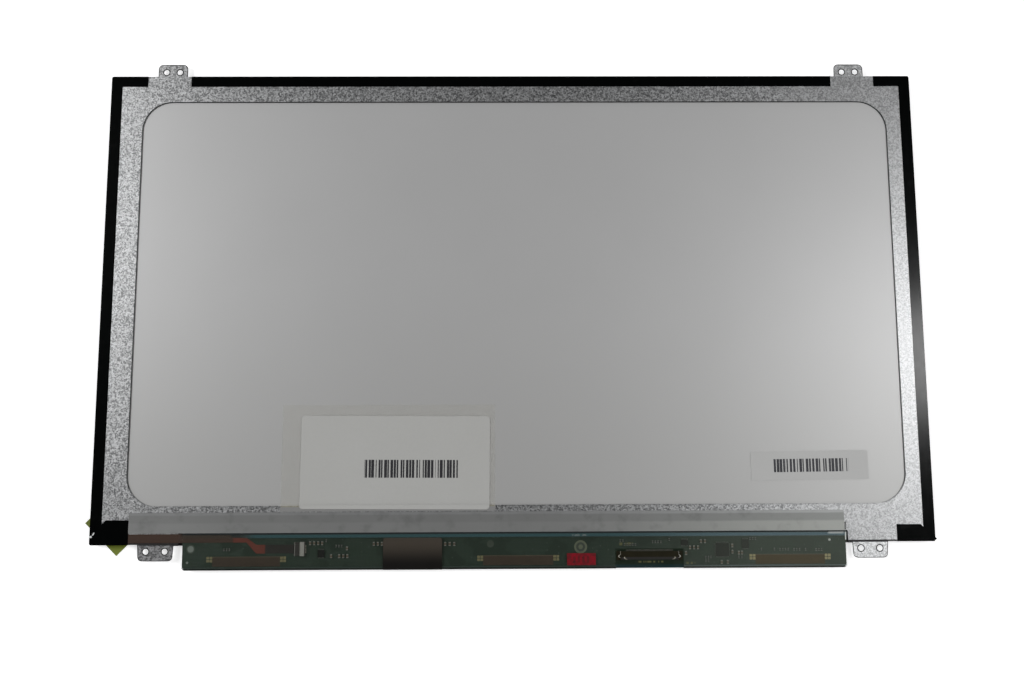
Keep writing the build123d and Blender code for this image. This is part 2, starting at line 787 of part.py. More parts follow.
def make_edge_tapes():
    # One thin folded band around the body, then cut into the strips that were stuck on
    front = filter_front - tape_thickness
    band = rounded_block(left_edge, right_edge, bottom_edge, top_edge, front, tape_back, corner_radius)
    band -= rounded_block(-plate_right, plate_right, -plate_top, plate_top, filter_front, plate_back,
                          corner_radius - tape_thickness)
    band -= block(left_edge + side_lip, right_edge - side_lip, bottom_edge, top_edge - top_lip,
                  plate_back, tape_back)
    band -= block(left_edge + front_lip, right_edge - front_lip, bottom_edge + front_lip,
                  top_edge - front_lip, front, filter_front)

    def strip(x0, x1, y0):
        return band & block(x0, x1, y0, top_edge, front, tape_back)

    left_ear, right_ear = top_ear_places
    outside = top_ear_width / 2 + tape_gap_outside
    inside = top_ear_width / 2 + tape_gap_inside
    left_lip = left_edge + side_lip
    right_lip = right_edge - side_lip
    tapes = {
        "side_tape_left": strip(left_edge, left_lip, bottom_edge),
        "side_tape_right": strip(right_lip, right_edge, bottom_edge),
        "top_tape_left": strip(left_lip, left_ear - outside, 0),
        "top_tape_middle": strip(left_ear + inside, right_ear - inside, 0),
        "top_tape_right": strip(right_ear + outside, right_lip, 0),
    }
    patches = [
        ("corner_tape_left", left_lip, left_patch_edge, left_patch_height, left_patch_chamfer),
        ("corner_tape_right", right_lip, right_patch_edge, right_patch_height, right_patch_chamfer),
    ]
    for name, lip, end, height, cut in patches:
        inward = 1 if end > lip else -1
        top = bottom_edge + height
        patch = prism([(lip, bottom_edge), (end, bottom_edge), (end, top),
                       (lip + inward * cut, top), (lip, top - cut)], plate_back, tape_back)
        side = min(lip, end), max(lip, end)
        patch += block(*side, bottom_edge, frame_bottom, front, tape_back)
        patch += block(*side, bottom_edge, bottom_edge + front_lip, front, filter_front)
        tapes[name] = patch
    return tapes


pieces = {"rear_plate": make_rear_plate(), "mould_frame": make_mould_frame()}
pieces.update(make_light_stack())
pieces["led_packages"] = make_led_packages()
pieces["led_flex"] = make_led_flex()
pieces.update(make_screen_cell())
pieces["pull_tab"] = make_pull_tab()
pieces.update(make_driver_films())
pieces["circuit_board"] = make_circuit_board()
pieces.update(make_signal_connector())
pieces.update(make_led_connector())
pieces["timing_controller"] = chip(board_right - timing_controller_from_end,
                                   timing_controller_from_top, timing_controller_size)
pieces["led_driver_chip"] = chip(board_left + led_driver_from_end, led_driver_from_top, led_driver_size)
pieces["memory_chip"] = chip(board_right - memory_from_end, memory_from_top, memory_size)
pieces["power_chip"] = chip(board_right - power_from_end, power_from_top, power_size)
pieces["capacitors"] = patches_of_parts(capacitors_from_left, capacitors_from_right,
                                        capacitor_size, capacitor_pitch)
pieces["resistors"] = patches_of_parts(resistors_from_left, resistors_from_right,
                                       resistor_size, resistor_pitch)
pieces["board_film"] = make_board_film()
pieces["board_tape"] = make_board_tape()
pieces["shield_tape"] = make_shield_tape()
pieces["inspection_sticker"] = make_sticker()
pieces.update(make_edge_tapes())
pieces.update(make_labels())

# The origin goes to the centre of the base of the whole panel
boxes = [piece.bounding_box() for piece in pieces.values()]
middle_x = (min(box.min.X for box in boxes) + max(box.max.X for box in boxes)) / 2
middle_y = (min(box.min.Y for box in boxes) + max(box.max.Y for box in boxes)) / 2
to_base_centre = Pos(-middle_x, -middle_y, -min(box.min.Z for box in boxes))

os.makedirs("parts", exist_ok=True)
for name, piece in pieces.items():
    export_step(to_base_centre * piece, f"parts/{name}.step")
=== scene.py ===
import math
import random
import bpy
from mathutils import Matrix, Vector


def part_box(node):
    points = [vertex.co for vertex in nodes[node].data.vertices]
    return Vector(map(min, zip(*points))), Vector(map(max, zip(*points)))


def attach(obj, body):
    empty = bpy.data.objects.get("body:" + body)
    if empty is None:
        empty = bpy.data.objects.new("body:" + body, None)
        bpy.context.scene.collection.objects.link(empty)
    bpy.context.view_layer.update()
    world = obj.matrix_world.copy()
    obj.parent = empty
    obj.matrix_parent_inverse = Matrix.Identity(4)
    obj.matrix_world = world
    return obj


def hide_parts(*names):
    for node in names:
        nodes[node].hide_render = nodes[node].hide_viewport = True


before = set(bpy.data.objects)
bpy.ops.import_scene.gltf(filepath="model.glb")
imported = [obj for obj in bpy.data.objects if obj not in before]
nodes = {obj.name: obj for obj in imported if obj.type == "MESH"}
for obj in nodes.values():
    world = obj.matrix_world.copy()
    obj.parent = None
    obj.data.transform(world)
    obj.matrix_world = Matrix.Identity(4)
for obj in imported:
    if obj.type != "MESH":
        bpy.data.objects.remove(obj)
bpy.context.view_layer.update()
mm = 0.001
print("frame:", len(nodes), "nodes")

# Where the body is: its middle, and the levels that pieces lie on
leftSide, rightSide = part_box("side_tape_left"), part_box("side_tape_right")
middleX = (leftSide[0].x + rightSide[1].x) / 2
middleY = (leftSide[0].y + leftSide[1].y) / 2
tapeBack = leftSide[1].z
boardLow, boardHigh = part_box("circuit_board")
boardBack = boardHigh.z
boardStart = (boardLow.x - middleX) / mm
hair = 0.01 * mm
straightUp = (0.0, 0.0, 1.0)


# A place in millimetres from the middle of the body, at a level in metres
def placeAt(x, y, level=0.0):
    return Vector((middleX + x * mm, middleY + y * mm, level))


# A colour as it is picked in a paint box, 0 to 255
def paint(red, green, blue):
    steps = [value / 255 for value in (red, green, blue)]
    return tuple(v / 12.92 if v < 0.04045 else ((v + 0.055) / 1.055) ** 2.4 for v in steps)


# A shader socket that does sums, with other sockets and with plain numbers
class Wire:
    def __init__(self, tree, socket=None):
        self.tree = tree
        self.socket = socket

    # Any node: its kind, its settings, then what goes into its sockets
    def node(self, kind, settings=None, feeds=None, out=0):
        made = self.tree.nodes.new(kind)
        for name, value in (settings or {}).items():
            setattr(made, name, value)
        for name, value in (feeds or {}).items():
            self.feed(made.inputs[name], value)
        return Wire(self.tree, made.outputs[out])

    def feed(self, socket, value):
        if isinstance(value, Wire):
            self.tree.links.new(value.socket, socket)
        elif socket.type == "RGBA" and len(value) == 3:
            socket.default_value = (*value, 1.0)
        else:
            socket.default_value = value

    def sum(self, operation, *values):
        return self.node("ShaderNodeMath", {"operation": operation}, dict(enumerate(values)))

    def __add__(self, other):
        return self.sum("ADD", self, other)

    def __radd__(self, other):
        return self.sum("ADD", other, self)

    def __sub__(self, other):
        return self.sum("SUBTRACT", self, other)

    def __rsub__(self, other):
        return self.sum("SUBTRACT", other, self)

    def __mul__(self, other):
        return self.sum("MULTIPLY", self, other)

    def __rmul__(self, other):
        return self.sum("MULTIPLY", other, self)

    def __pow__(self, other):
        return self.sum("POWER", self, other)

    def __gt__(self, other):
        return self.sum("GREATER_THAN", self, other)

    def __lt__(self, other):
        return self.sum("LESS_THAN", self, other)

    def __abs__(self):
        return self.sum("ABSOLUTE", self)

    def split(self, vector):
        first = self.node("ShaderNodeSeparateXYZ", None, {0: vector})
        return [Wire(self.tree, out) for out in first.socket.node.outputs]

    def noise(self, spot, scale, detail=2.0):
        return self.node("ShaderNodeTexNoise", None, {"Vector": spot, "Scale": scale, "Detail": detail})

    # One chance value for each cell of a broken-up field
    def cells(self, spot, scale):
        colour = self.node("ShaderNodeTexVoronoi", None, {"Vector": spot, "Scale": scale}, "Color")
        return self.node("ShaderNodeSeparateColor", None, {0: colour})

    def chance(self, value):
        return self.node("ShaderNodeTexWhiteNoise", {"noise_dimensions": "1D"}, {"W": value})

    # From 0 at the start to 1 at the end, then soft steps: over a line, under a line and between two
    def rise(self, value, start, end):
        return self.node("ShaderNodeMapRange", {"interpolation_type": "SMOOTHSTEP"},
                         {"Value": value, "From Min": start, "From Max": end})

    def over(self, value, line, soft):
        return self.rise(value, line - soft, line + soft)

    def under(self, value, line, soft):
        return self.rise(value, line + soft, line - soft)

    def band(self, value, low, high, soft):
        return self.over(value, low, soft) * self.under(value, high, soft)

    # Even stripes, each a share of its pitch, and cells that chance inks or leaves blank
    def stripes(self, value, pitch, share):
        return self.sum("FRACT", value * (1 / pitch)) < share

    def blocks(self, value, cell, blankShare):
        return self.chance(self.sum("FLOOR", value * (1 / cell))) > blankShare

    # Between two numbers, and between two colours
    def blend(self, share, first, second):
        return first + (second - first) * share

    def mix(self, share, first, second):
        return self.node("ShaderNodeMix", {"data_type": "RGBA"}, {0: share, 6: first, 7: second}, 2)

    def bump(self, height, depth, facing=None):
        feeds = {"Height": height, "Distance": depth}
        if facing:
            feeds["Normal"] = self.node("ShaderNodeCombineXYZ", None, dict(enumerate(facing)))
        return self.node("ShaderNodeBump", None, feeds)

    # The two flat coordinates, in millimetres from the middle of the body
    def flat(self, spot):
        x, y, _ = self.split(spot)
        return (x - middleX) * (1 / mm), (y - middleY) * (1 / mm)


def makeFinish(name, recipe):
    material = bpy.data.materials.new(name)
    material.use_nodes = True
    shader = material.node_tree.nodes["Principled BSDF"]
    desk = Wire(material.node_tree)
    spot = desk.node("ShaderNodeTexCoord", out="Object")
    for socket, value in recipe(desk, spot).items():
        desk.feed(shader.inputs[socket], value)
    return material


# Finishes. Galvanised steel: small flakes of zinc, each with its own shine
zincPlate = {
    "dark": paint(135, 136, 137), "light": paint(215, 216, 217), "calmSpan": (105.0, 150.0), "calm": 0.45,
    "flakeScale": 1900, "cloudScale": 1500, "stainScale": 24,
    "flakeShare": 0.50, "cloudShare": 0.38, "stainShare": 0.12, "toneSpan": (0.20, 0.75),
    "rough": 0.42, "roughSpread": 0.10, "depth": 0.008 * mm, "flakeDepth": 0.5,
    "window": (-164.9, 168.2, -87.3, 91.2), "windowCorner": 13.0,
    # Painted shade along the window's cut edge
    "edgeShadeWidth": 0.5, "edgeShadeColour": paint(70, 71, 71), "edgeShadeFaint": 0.25, "edgeShadeStart": 1.0,
    "earRoot": 103.6, "soft": 0.3,
    # Painted shade on one lower ear, and a painted highlight on the two right ears
    "shadedEar": (-161.0, -143.5), "shadedEarDark": paint(124, 124, 125), "shadedEarLight": paint(200, 200, 202),
    "highlightedEars": 139.0, "highlightedEarDark": paint(154, 155, 156), "highlightedEarLight": paint(250, 251, 252),
}


def zincRecipe(desk, spot):
    look = zincPlate
    x, y = desk.flat(spot)
    flake = desk.cells(spot, look["flakeScale"])
    cloud = desk.noise(spot, look["cloudScale"], 3.0)
    stain = desk.noise(spot, look["stainScale"])
    tone = flake * look["flakeShare"] + cloud * look["cloudShare"] + stain * look["stainShare"]
    shine = desk.rise(tone, *look["toneSpan"])
    # The flakes stand out less towards the right
    shine = desk.blend(look["calm"] * desk.rise(x, *look["calmSpan"]), shine, 0.5)
    colour = desk.mix(shine, look["dark"], look["light"])
    # Painted shade darkens one lower ear, and a painted highlight brightens the two right ears
    earShade = desk.band(x, *look["shadedEar"], look["soft"]) * desk.under(y, -look["earRoot"], look["soft"])
    colour = desk.mix(earShade, colour, desk.mix(shine, look["shadedEarDark"], look["shadedEarLight"]))
    paintedHighlight = (x > look["highlightedEars"]) * (abs(y) > look["earRoot"])
    colour = desk.mix(paintedHighlight, colour, desk.mix(shine, look["highlightedEarDark"], look["highlightedEarLight"]))
    # Painted shade: a fine dark line along the window's cut edge, faint along the bottom
    x0, x1, y0, y1 = look["window"]
    corner = look["windowCorner"]
    overX = desk.sum("MAXIMUM", abs(x - (x0 + x1) / 2) - ((x1 - x0) / 2 - corner), 0.0)
    overY = desk.sum("MAXIMUM", abs(y - (y0 + y1) / 2) - ((y1 - y0) / 2 - corner), 0.0)
    away = (overX * overX + overY * overY) ** 0.5 - corner
    line = desk.rise(away, look["edgeShadeWidth"], look["edgeShadeWidth"] / 2)
    line = line * desk.blend(desk.rise(y, y0 - look["edgeShadeStart"], y0 + corner), look["edgeShadeFaint"], 1)
    return {
        "Base Color": desk.mix(line, colour, look["edgeShadeColour"]),
        "Metallic": 1.0,
        "Roughness": look["rough"] + look["roughSpread"] * (flake + cloud - 1.0),
        "Normal": desk.bump(flake * look["flakeDepth"] + cloud, look["depth"]),
    }


# Pearly sheet behind the light guide
pearlSheet = {
    "dark": paint(185, 185, 185), "light": paint(191, 191, 191), "cloudScale": 26, "grainScale": 1900,
    # Painted shade towards the bottom of the sheet
    "low": paint(181, 181, 180), "lowShadeSpan": (20.0, -92.0),
    "metal": 0.44, "rough": 0.45, "roughSpread": 0.06, "grainShare": 0.3,
    "depth": 0.004 * mm, "sag": 0.05 * mm, "sagScale": 14,
}


def pearlRecipe(desk, spot):
    look = pearlSheet
    cloud = desk.noise(spot, look["cloudScale"], 3.0)
    grain = desk.noise(spot, look["grainScale"])
    sag = desk.noise(spot, look["sagScale"], 1.0)
    height = sag * (look["sag"] / look["depth"]) + grain
    mottle = cloud * (1 - look["grainShare"]) + grain * look["grainShare"]
    colour = desk.mix(mottle, look["dark"], look["light"])
    # Painted shade: the sheet turns darker towards the bottom
    return {
        "Base Color": desk.mix(desk.rise(desk.flat(spot)[1], *look["lowShadeSpan"]), colour, look["low"]),
        "Metallic": look["metal"],
        "Roughness": look["rough"] + look["roughSpread"] * (grain - 0.5),
        "Normal": desk.bump(height, look["depth"]),
    }


# Black edge tape, thin and glossy
blackTape = {
    "colour": paint(2, 3, 3), "dust": paint(10, 11, 11), "rough": 0.15, "roughSpread": 0.05, "shine": 0.25,
    "peelScale": 420, "dustScale": 160, "dustSpan": (0.62, 0.80), "dustShare": 0.5, "dustRough": 0.06,
    "depth": 0.004 * mm,
}


def tapeRecipe(desk, spot):
    look = blackTape
    peel = desk.noise(spot, look["peelScale"])
    dust = desk.rise(desk.noise(spot, look["dustScale"], 5.0), *look["dustSpan"])
    return {
        "Base Color": desk.mix(dust * look["dustShare"], look["colour"], look["dust"]),
        "Roughness": look["rough"] + look["roughSpread"] * peel + look["dustRough"] * dust,
        "Specular IOR Level": look["shine"],
        "Normal": desk.bump(peel, look["depth"]),
    }


# Printed labels: paper with a block of plain bars
labelStock = {
    "soft": 0.05, "warp": 1.0, "driftScale": 1.1, "fibreScale": 900, "cloudScale": 40,
    "roughSpread": 0.08, "inkGloss": 0.08, "depth": 0.002 * mm,
}
mainLabel = {
    "paper": paint(172, 172, 170), "shadow": paint(164, 164, 161), "ink": paint(42, 42, 45), "rough": 0.48,
    "turn": -0.4, "block": (-43.9, -71.9), "size": (40.0, 7.6), "cells": 120, "wide": 0.66,
}
smallLabel = {
    "paper": paint(177, 177, 176), "shadow": paint(169, 169, 168), "ink": paint(38, 38, 44), "rough": 0.45,
    "turn": 0.6, "block": (128.0, -71.1), "size": (32.2, 5.6), "cells": 92, "wide": 0.70,
}


def labelRecipe(look):
    def recipe(desk, spot):
        stock = labelStock
        x, y = desk.flat(spot)
        turn = math.radians(look["turn"])
        right = x - look["block"][0]
        up = y - look["block"][1]
        along = right * math.cos(turn) + up * math.sin(turn)
        rising = up * math.cos(turn) - right * math.sin(turn)
        width, height = look["size"]
        inside = desk.band(along, -width / 2, width / 2, stock["soft"])
        inside = inside * desk.band(rising, -height / 2, height / 2, stock["soft"])
        # Four cells to a bar: the first is inked, the third stays bare, and chance has the other two
        drift = desk.node("ShaderNodeTexNoise", {"noise_dimensions": "1D"},
                          {"W": along, "Scale": stock["driftScale"]})
        cell = desk.sum("FLOOR", (along + stock["warp"] * drift + width) * (look["cells"] / width))
        fourth = desk.sum("MODULO", cell, 4.0)
        maybe = (abs(fourth - 2.0) > 0.5) * (desk.chance(cell) < look["wide"])
        ink = inside * desk.sum("MAXIMUM", fourth < 0.5, maybe)
        fibre = desk.noise(spot, stock["fibreScale"], 4.0)
        cloud = desk.noise(spot, stock["cloudScale"])
        paper = desk.mix(fibre * 0.5 + cloud * 0.5, look["shadow"], look["paper"])
        return {
            "Base Color": desk.mix(ink, paper, look["ink"]),
            "Roughness": look["rough"] + stock["roughSpread"] * (fibre - 0.5) - stock["inkGloss"] * ink,
            "Normal": desk.bump(fibre, stock["depth"], straightUp),
        }
    return recipe


# Clear film under the main label, a little yellow
clearSheet = {
    "tint": paint(216, 210, 176), "alpha": 0.04, "rough": 0.46, "roughSpread": 0.08,
    "wrinkle": 0.02 * mm, "waveScale": 70,
    "stuck": paint(132, 132, 131), "stuckAlpha": 0.88, "stuckBelow": -87.6, "soft": 0.4,
    # Painted highlights along the film's left and right edges
    "edge": paint(232, 232, 228), "edgeAlpha": 0.10, "edgeHighlightWidth": 0.35,
}


# Clear on the pearly sheet, and a matt grey where it is stuck down on the steel, with painted highlights
# along its left and right edges
def clearRecipe(desk, spot):
    look = clearSheet
    x, y = desk.flat(spot)
    low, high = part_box("clear_film")
    left, right = (low.x - middleX) / mm, (high.x - middleX) / mm
    wave = desk.noise(spot, look["waveScale"])
    stuck = desk.under(y, look["stuckBelow"], look["soft"])
    edge = 1 - desk.band(x, left + look["edgeHighlightWidth"], right - look["edgeHighlightWidth"], look["edgeHighlightWidth"])
    colour = desk.mix(edge, look["tint"], look["edge"])
    alpha = desk.blend(edge, look["alpha"], look["edgeAlpha"])
    return {
        "Base Color": desk.mix(stuck, colour, look["stuck"]),
        "Roughness": look["rough"] + look["roughSpread"] * wave,
        "Alpha": desk.blend(stuck, alpha, look["stuckAlpha"]),
        "Normal": desk.bump(wave, look["wrinkle"]),
    }


# Grey band above the board: strips of different grey, with the zinc showing through a little
greyBand = {
    "upper": paint(136, 137, 136), "lower": paint(142, 143, 142), "top": paint(146, 147, 147),
    "upperRight": paint(142, 144, 142), "lowerRight": paint(162, 164, 160), "topRight": paint(166, 168, 167),
    "paler": (10.0, 130.0), "stripTop": -91.2, "stripLow": -94.4, "alpha": 0.92, "rough": 0.46, "metal": 0.55,
    "dent": paint(74, 75, 75), "cloudScale": 60, "dentScale": 190, "dentSpan": (0.50, 0.80),
    "dentShare": 0.16, "dentClear": 0.08, "waver": 0.6, "softLow": 0.5, "softTop": 0.3,
    "roughSpread": 0.12, "depth": 0.05 * mm,
}


def greyRecipe(desk, spot):
    look = greyBand
    x, y = desk.flat(spot)
    soft = desk.noise(spot, look["cloudScale"], 3.0)
    dent = desk.rise(desk.noise(spot, look["dentScale"], 3.0), *look["dentSpan"])
    right = desk.rise(x, *look["paler"])
    edge = y + look["waver"] * (soft - 0.5)
    strips = ("upper", "lower", "top")
    upper, lower, top = (desk.mix(right, look[strip], look[strip + "Right"]) for strip in strips)
    inLower = desk.under(edge, look["stripLow"], look["softLow"])
    inTop = desk.over(edge, look["stripTop"], look["softTop"])
    colour = desk.mix(inTop, desk.mix(inLower, upper, lower), top)
    return {
        "Base Color": desk.mix(look["dentShare"] * dent, colour, look["dent"]),
        "Roughness": look["rough"] + look["roughSpread"] * (soft - 0.5),
        "Metallic": look["metal"],
        "Alpha": look["alpha"] - look["dentClear"] * dent,
        "Normal": desk.bump(soft, look["depth"], straightUp),
    }


# Circuit board: dark green mask over short runs of track and small tinned holes
boardMask = {
    "mask": paint(29, 40, 32), "track": paint(36, 50, 40), "tin": paint(54, 64, 56),
    "bareAndShaded": paint(9, 26, 10), "bareTeal": paint(6, 34, 36), "bareSpan": (43.0, 72.3), "bareTop": -105.9,
    "tealTop": -112.6, "blockScale": 160, "trackPitch": 0.55, "holeScale": 620, "rough": 0.40,
    "marks": ((52.3, 63.5, -111.8, -111.1), (73.3, 77.1, -112.5, -111.6), (44.9, 50.8, -104.6, -103.4)),
    "markCell": 0.42, "markSoft": (0.05, 0.1), "blankShare": 0.35, "inkShare": 0.7, "ink": paint(98, 96, 60),
    "trackShare": 0.45, "uprightAbove": 0.72, "plainBelow": 0.30, "holeRadius": 0.16, "holesAbove": 0.80,
    "soft": 0.1, "tealSoft": 0.3, "shine": 0.3, "trackGloss": 0.08, "depth": 0.015 * mm,
}


def boardRecipe(desk, spot):
    look = boardMask
    x, y = desk.flat(spot)
    chance = desk.cells(spot, look["blockScale"])
    acrossTrack, alongTrack = (desk.stripes(way, look["trackPitch"], look["trackShare"]) for way in (y, x))
    upright = chance > look["uprightAbove"]
    track = acrossTrack * (1 - upright) + alongTrack * upright
    track = track * (chance > look["plainBelow"])
    dot = desk.node("ShaderNodeTexVoronoi", None, {"Vector": spot, "Scale": look["holeScale"]}, "Distance")
    hole = (dot < look["holeRadius"]) * (desk.cells(spot, look["holeScale"]) > look["holesAbove"])
    colour = desk.mix(track, look["mask"], look["track"])
    # Darker where the film is cut away around the socket: partly the bare board, partly painted shade under
    # the connector
    bareAndShaded = desk.band(x, *look["bareSpan"], look["soft"]) * desk.under(y, look["bareTop"], look["soft"])
    teal = desk.under(y, look["tealTop"], look["tealSoft"])
    colour = desk.mix(bareAndShaded, colour, desk.mix(teal, look["bareAndShaded"], look["bareTeal"]))
    colour = desk.mix(hole * (1 - bareAndShaded), colour, look["tin"])
    # Short rows of plain printed blocks
    block = desk.blocks(x, look["markCell"], look["blankShare"])
    softX, softY = look["markSoft"]
    for left, right, low, high in look["marks"]:
        mark = desk.band(x, left, right, softX) * desk.band(y, low, high, softY) * block
        colour = desk.mix(look["inkShare"] * mark, colour, look["ink"])
    return {
        "Base Color": colour,
        "Roughness": look["rough"] - look["trackGloss"] * track,
        "Specular IOR Level": look["shine"],
        "Normal": desk.bump(track, look["depth"]),
    }


# Clear film over the board: hazy, with a painted blue reflection along its slope and a painted highlight
# along the fold at its lower edge
coverFilm = {
    "haze": paint(72, 78, 70), "hazeRight": paint(120, 128, 116), "alpha": 0.055, "alphaRight": 0.095,
    "milky": (30.0, 110.0), "rough": 0.24, "shine": 0.3, "wrinkle": 0.06 * mm, "waveScale": 55,
    "slope": paint(56, 82, 84), "slopeRight": paint(92, 112, 118), "slopeAlpha": 0.66,
    "slopeLow": -100.75, "slopeTop": -99.35, "slopeStart": (-117.5, -108.5), "slopeClear": 0.10,
    "slopeSoft": 0.25, "lineSoft": 0.1,
    "shade": paint(42, 46, 48), "shadeLine": -98.95, "shadeWidth": 0.35, "shadeAlpha": 0.70,
    "fold": paint(62, 74, 74), "foldHighlightRight": paint(120, 132, 140), "foldLine": -113.1, "foldWidth": 0.16,
    "foldHighlightAlpha": 0.55, "edge": paint(12, 14, 14), "edgeLine": -113.55, "edgeSoft": 0.15, "edgeAlpha": 0.90,
    # Painted highlights: a thin line at the film's right end, and a glint on its slope
    "sliver": (141.2, 141.7), "sliverSpan": (-102.6, -99.3), "sliverSoft": (0.08, 0.2), "lipHighlightAlpha": 0.85,
    "glint": (134.0, 140.6), "glintSpan": (-100.0, -99.2), "glintSoft": (0.6, 0.15), "glintAlpha": 0.70,
    "paintedHighlight": paint(205, 208, 205), "foldSteady": 0.45, "glintSteady": 0.3, "markSteady": 0.4,
    "mark": (24.7, 31.4), "markSpan": (-100.5, -99.8), "markSoft": (0.05, 0.08), "markAlpha": 0.55,
    "markCell": 0.55, "blankShare": 0.3, "ink": paint(120, 130, 128), "roughSpread": 0.10, "startSoft": 0.2,
}


# Each mark in the film is a layer: where it is, its colour and how solid it makes the film
def coverRecipe(desk, spot):
    look = coverFilm
    x, y = desk.flat(spot)
    wave = desk.noise(spot, look["waveScale"])
    # Lighter towards the right; on the slope and the fold this is painted reflection
    milky = desk.rise(x, *look["milky"])
    # Painted reflection: a blue band along the film's slope, fading out towards the left
    slope = desk.band(y, look["slopeLow"], look["slopeTop"], look["slopeSoft"])
    slope = slope * desk.blend(desk.rise(x, *look["slopeStart"]), look["slopeClear"], 1)
    # A painted shade line under the grey band, and a painted highlight along the fold at the lower edge
    lines = ((look[part + "Line"], look[part + "Width"]) for part in ("shade", "fold"))
    shade, fold = (desk.band(y, line - width, line + width, look["lineSoft"]) for line, width in lines)
    edge = desk.under(y, look["edgeLine"], look["edgeSoft"])
    # Painted highlights: a thin one at the film's right end and a glint on its slope; then printed marks
    patches = []
    for part in ("sliver", "glint", "mark"):
        softX, softY = look[part + "Soft"]
        patches.append(desk.band(x, *look[part], softX) * desk.band(y, *look[part + "Span"], softY))
    sliver, glint, mark = patches
    blocks = desk.blocks(x, look["markCell"], look["blankShare"])
    uneven = {part: desk.blend(wave, look[part + "Steady"], 1) for part in ("fold", "glint", "mark")}
    layers = (
        (slope, desk.mix(milky, look["slope"], look["slopeRight"]), look["slopeAlpha"]),
        (shade, look["shade"], look["shadeAlpha"]),
        (fold * uneven["fold"], desk.mix(milky, look["fold"], look["foldHighlightRight"]), look["foldHighlightAlpha"]),
        (edge, look["edge"], look["edgeAlpha"]),
        (sliver, look["paintedHighlight"], look["lipHighlightAlpha"]),
        (glint * uneven["glint"], look["paintedHighlight"], look["glintAlpha"]),
        (mark * blocks * uneven["mark"], look["ink"], look["markAlpha"]),
    )
    colour = desk.mix(milky, look["haze"], look["hazeRight"])
    alpha = desk.blend(milky, look["alpha"], look["alphaRight"])
    for share, tone, solid in layers:
        colour = desk.mix(share, colour, tone)
        alpha = desk.blend(share, alpha, solid)
    onBoard = desk.over(x, boardStart, look["startSoft"])
    return {
        "Base Color": colour,
        "Roughness": look["rough"] + look["roughSpread"] * wave,
        "Specular IOR Level": look["shine"],
        "Alpha": alpha * onBoard,
        "Normal": desk.bump(wave, look["wrinkle"]),
    }


# Light-bar ribbon: brown, then an orange jog, then a dark plug
ribbonFlex = {
    "brown": paint(60, 44, 36), "orange": paint(92, 44, 34), "tail": paint(34, 31, 29),
    "jogStart": -119.2, "tailStart": -105.6, "soft": 0.4, "shadow": paint(30, 24, 20),
    "copperPitch": 0.625, "copperShare": 0.55, "copperTint": 0.14, "cloudScale": 120, "cloudTint": 0.12,
    "rough": 0.46, "roughSpread": 0.10, "shine": 0.2, "depth": 0.01 * mm,
}


def flexRecipe(desk, spot):
    look = ribbonFlex
    x, y = desk.flat(spot)
    copper = desk.stripes(y, look["copperPitch"], look["copperShare"])
    cloud = desk.noise(spot, look["cloudScale"], 3.0)
    colour = look["brown"]
    for start, tone in ((look["jogStart"], look["orange"]), (look["tailStart"], look["tail"])):
        colour = desk.mix(desk.over(x, start, look["soft"]), colour, tone)
    tint = look["copperTint"] * copper + look["cloudTint"] * cloud
    return {
        "Base Color": desk.mix(tint, colour, look["shadow"]),
        "Roughness": look["rough"] + look["roughSpread"] * cloud,
        "Specular IOR Level": look["shine"],
        "Normal": desk.bump(copper, look["depth"]),
    }


# Dark conductive tape over the board's edge: a fine weave, with painted shade darkening it towards the edge
# where it bends over
shieldWeave = {
    "top": paint(64, 58, 51), "low": paint(7, 6, 5), "topLine": -102.5, "lowLine": -112.3,
    "pitch": 0.28, "thread": paint(40, 37, 33), "threadTint": 0.14, "creaseScale": 130, "creaseTint": 0.10,
    "metal": 0.15, "rough": 0.60, "roughSpread": 0.12, "shine": 0.15, "weaveShare": 0.3, "depth": 0.03 * mm,
}


def shieldRecipe(desk, spot):
    look = shieldWeave
    x, y = desk.flat(spot)
    warp, weft = (desk.sum("SINE", way * (2 * math.pi / look["pitch"])) for way in (x, y))
    weave = warp * weft * 0.5 + 0.5
    crease = desk.noise(spot, look["creaseScale"], 3.0)
    # Painted shade: darker towards the lower edge, where the tape bends over the board
    colour = desk.mix(desk.rise(y, look["lowLine"], look["topLine"]), look["low"], look["top"])
    tint = look["threadTint"] * weave + look["creaseTint"] * crease
    return {
        "Base Color": desk.mix(tint, colour, look["thread"]),
        "Metallic": look["metal"],
        "Roughness": look["rough"] + look["roughSpread"] * (crease - 0.5),
        "Specular IOR Level": look["shine"],
        "Normal": desk.bump(weave * look["weaveShare"] + crease, look["depth"]),
    }


# Ribbon socket: a pale bar at its back, a dark latch with painted shadow on the housing's cheeks, and a pale
# lip where the ribbon goes in
ribbonSocket = {
    "bar": paint(132, 132, 125), "latchAndShadow": paint(34, 31, 28), "lip": paint(96, 95, 90),
    "barSpan": (-90.8, -88.95), "lipTo": -92.75, "soft": 0.05, "dust": paint(60, 56, 50), "dustShare": 0.15,
    "grainScale": 700, "rough": 0.45, "roughSpread": 0.10, "depth": 0.003 * mm,
}


def socketRecipe(desk, spot):
    look = ribbonSocket
    x, y = desk.flat(spot)
    grain = desk.noise(spot, look["grainScale"], 3.0)
    # The dark colour is the latch's own and, on the housing's cheeks, painted shadow of the latch
    colour = desk.mix(desk.band(x, *look["barSpan"], look["soft"]), look["latchAndShadow"], look["bar"])
    inLip = desk.under(x, look["lipTo"], look["soft"])
    colour = desk.mix(inLip, colour, look["lip"])
    return {
        "Base Color": desk.mix(look["dustShare"] * grain, colour, look["dust"]),
        "Roughness": look["rough"] + look["roughSpread"] * (grain - 0.5),
        "Normal": desk.bump(grain, look["depth"]),
    }


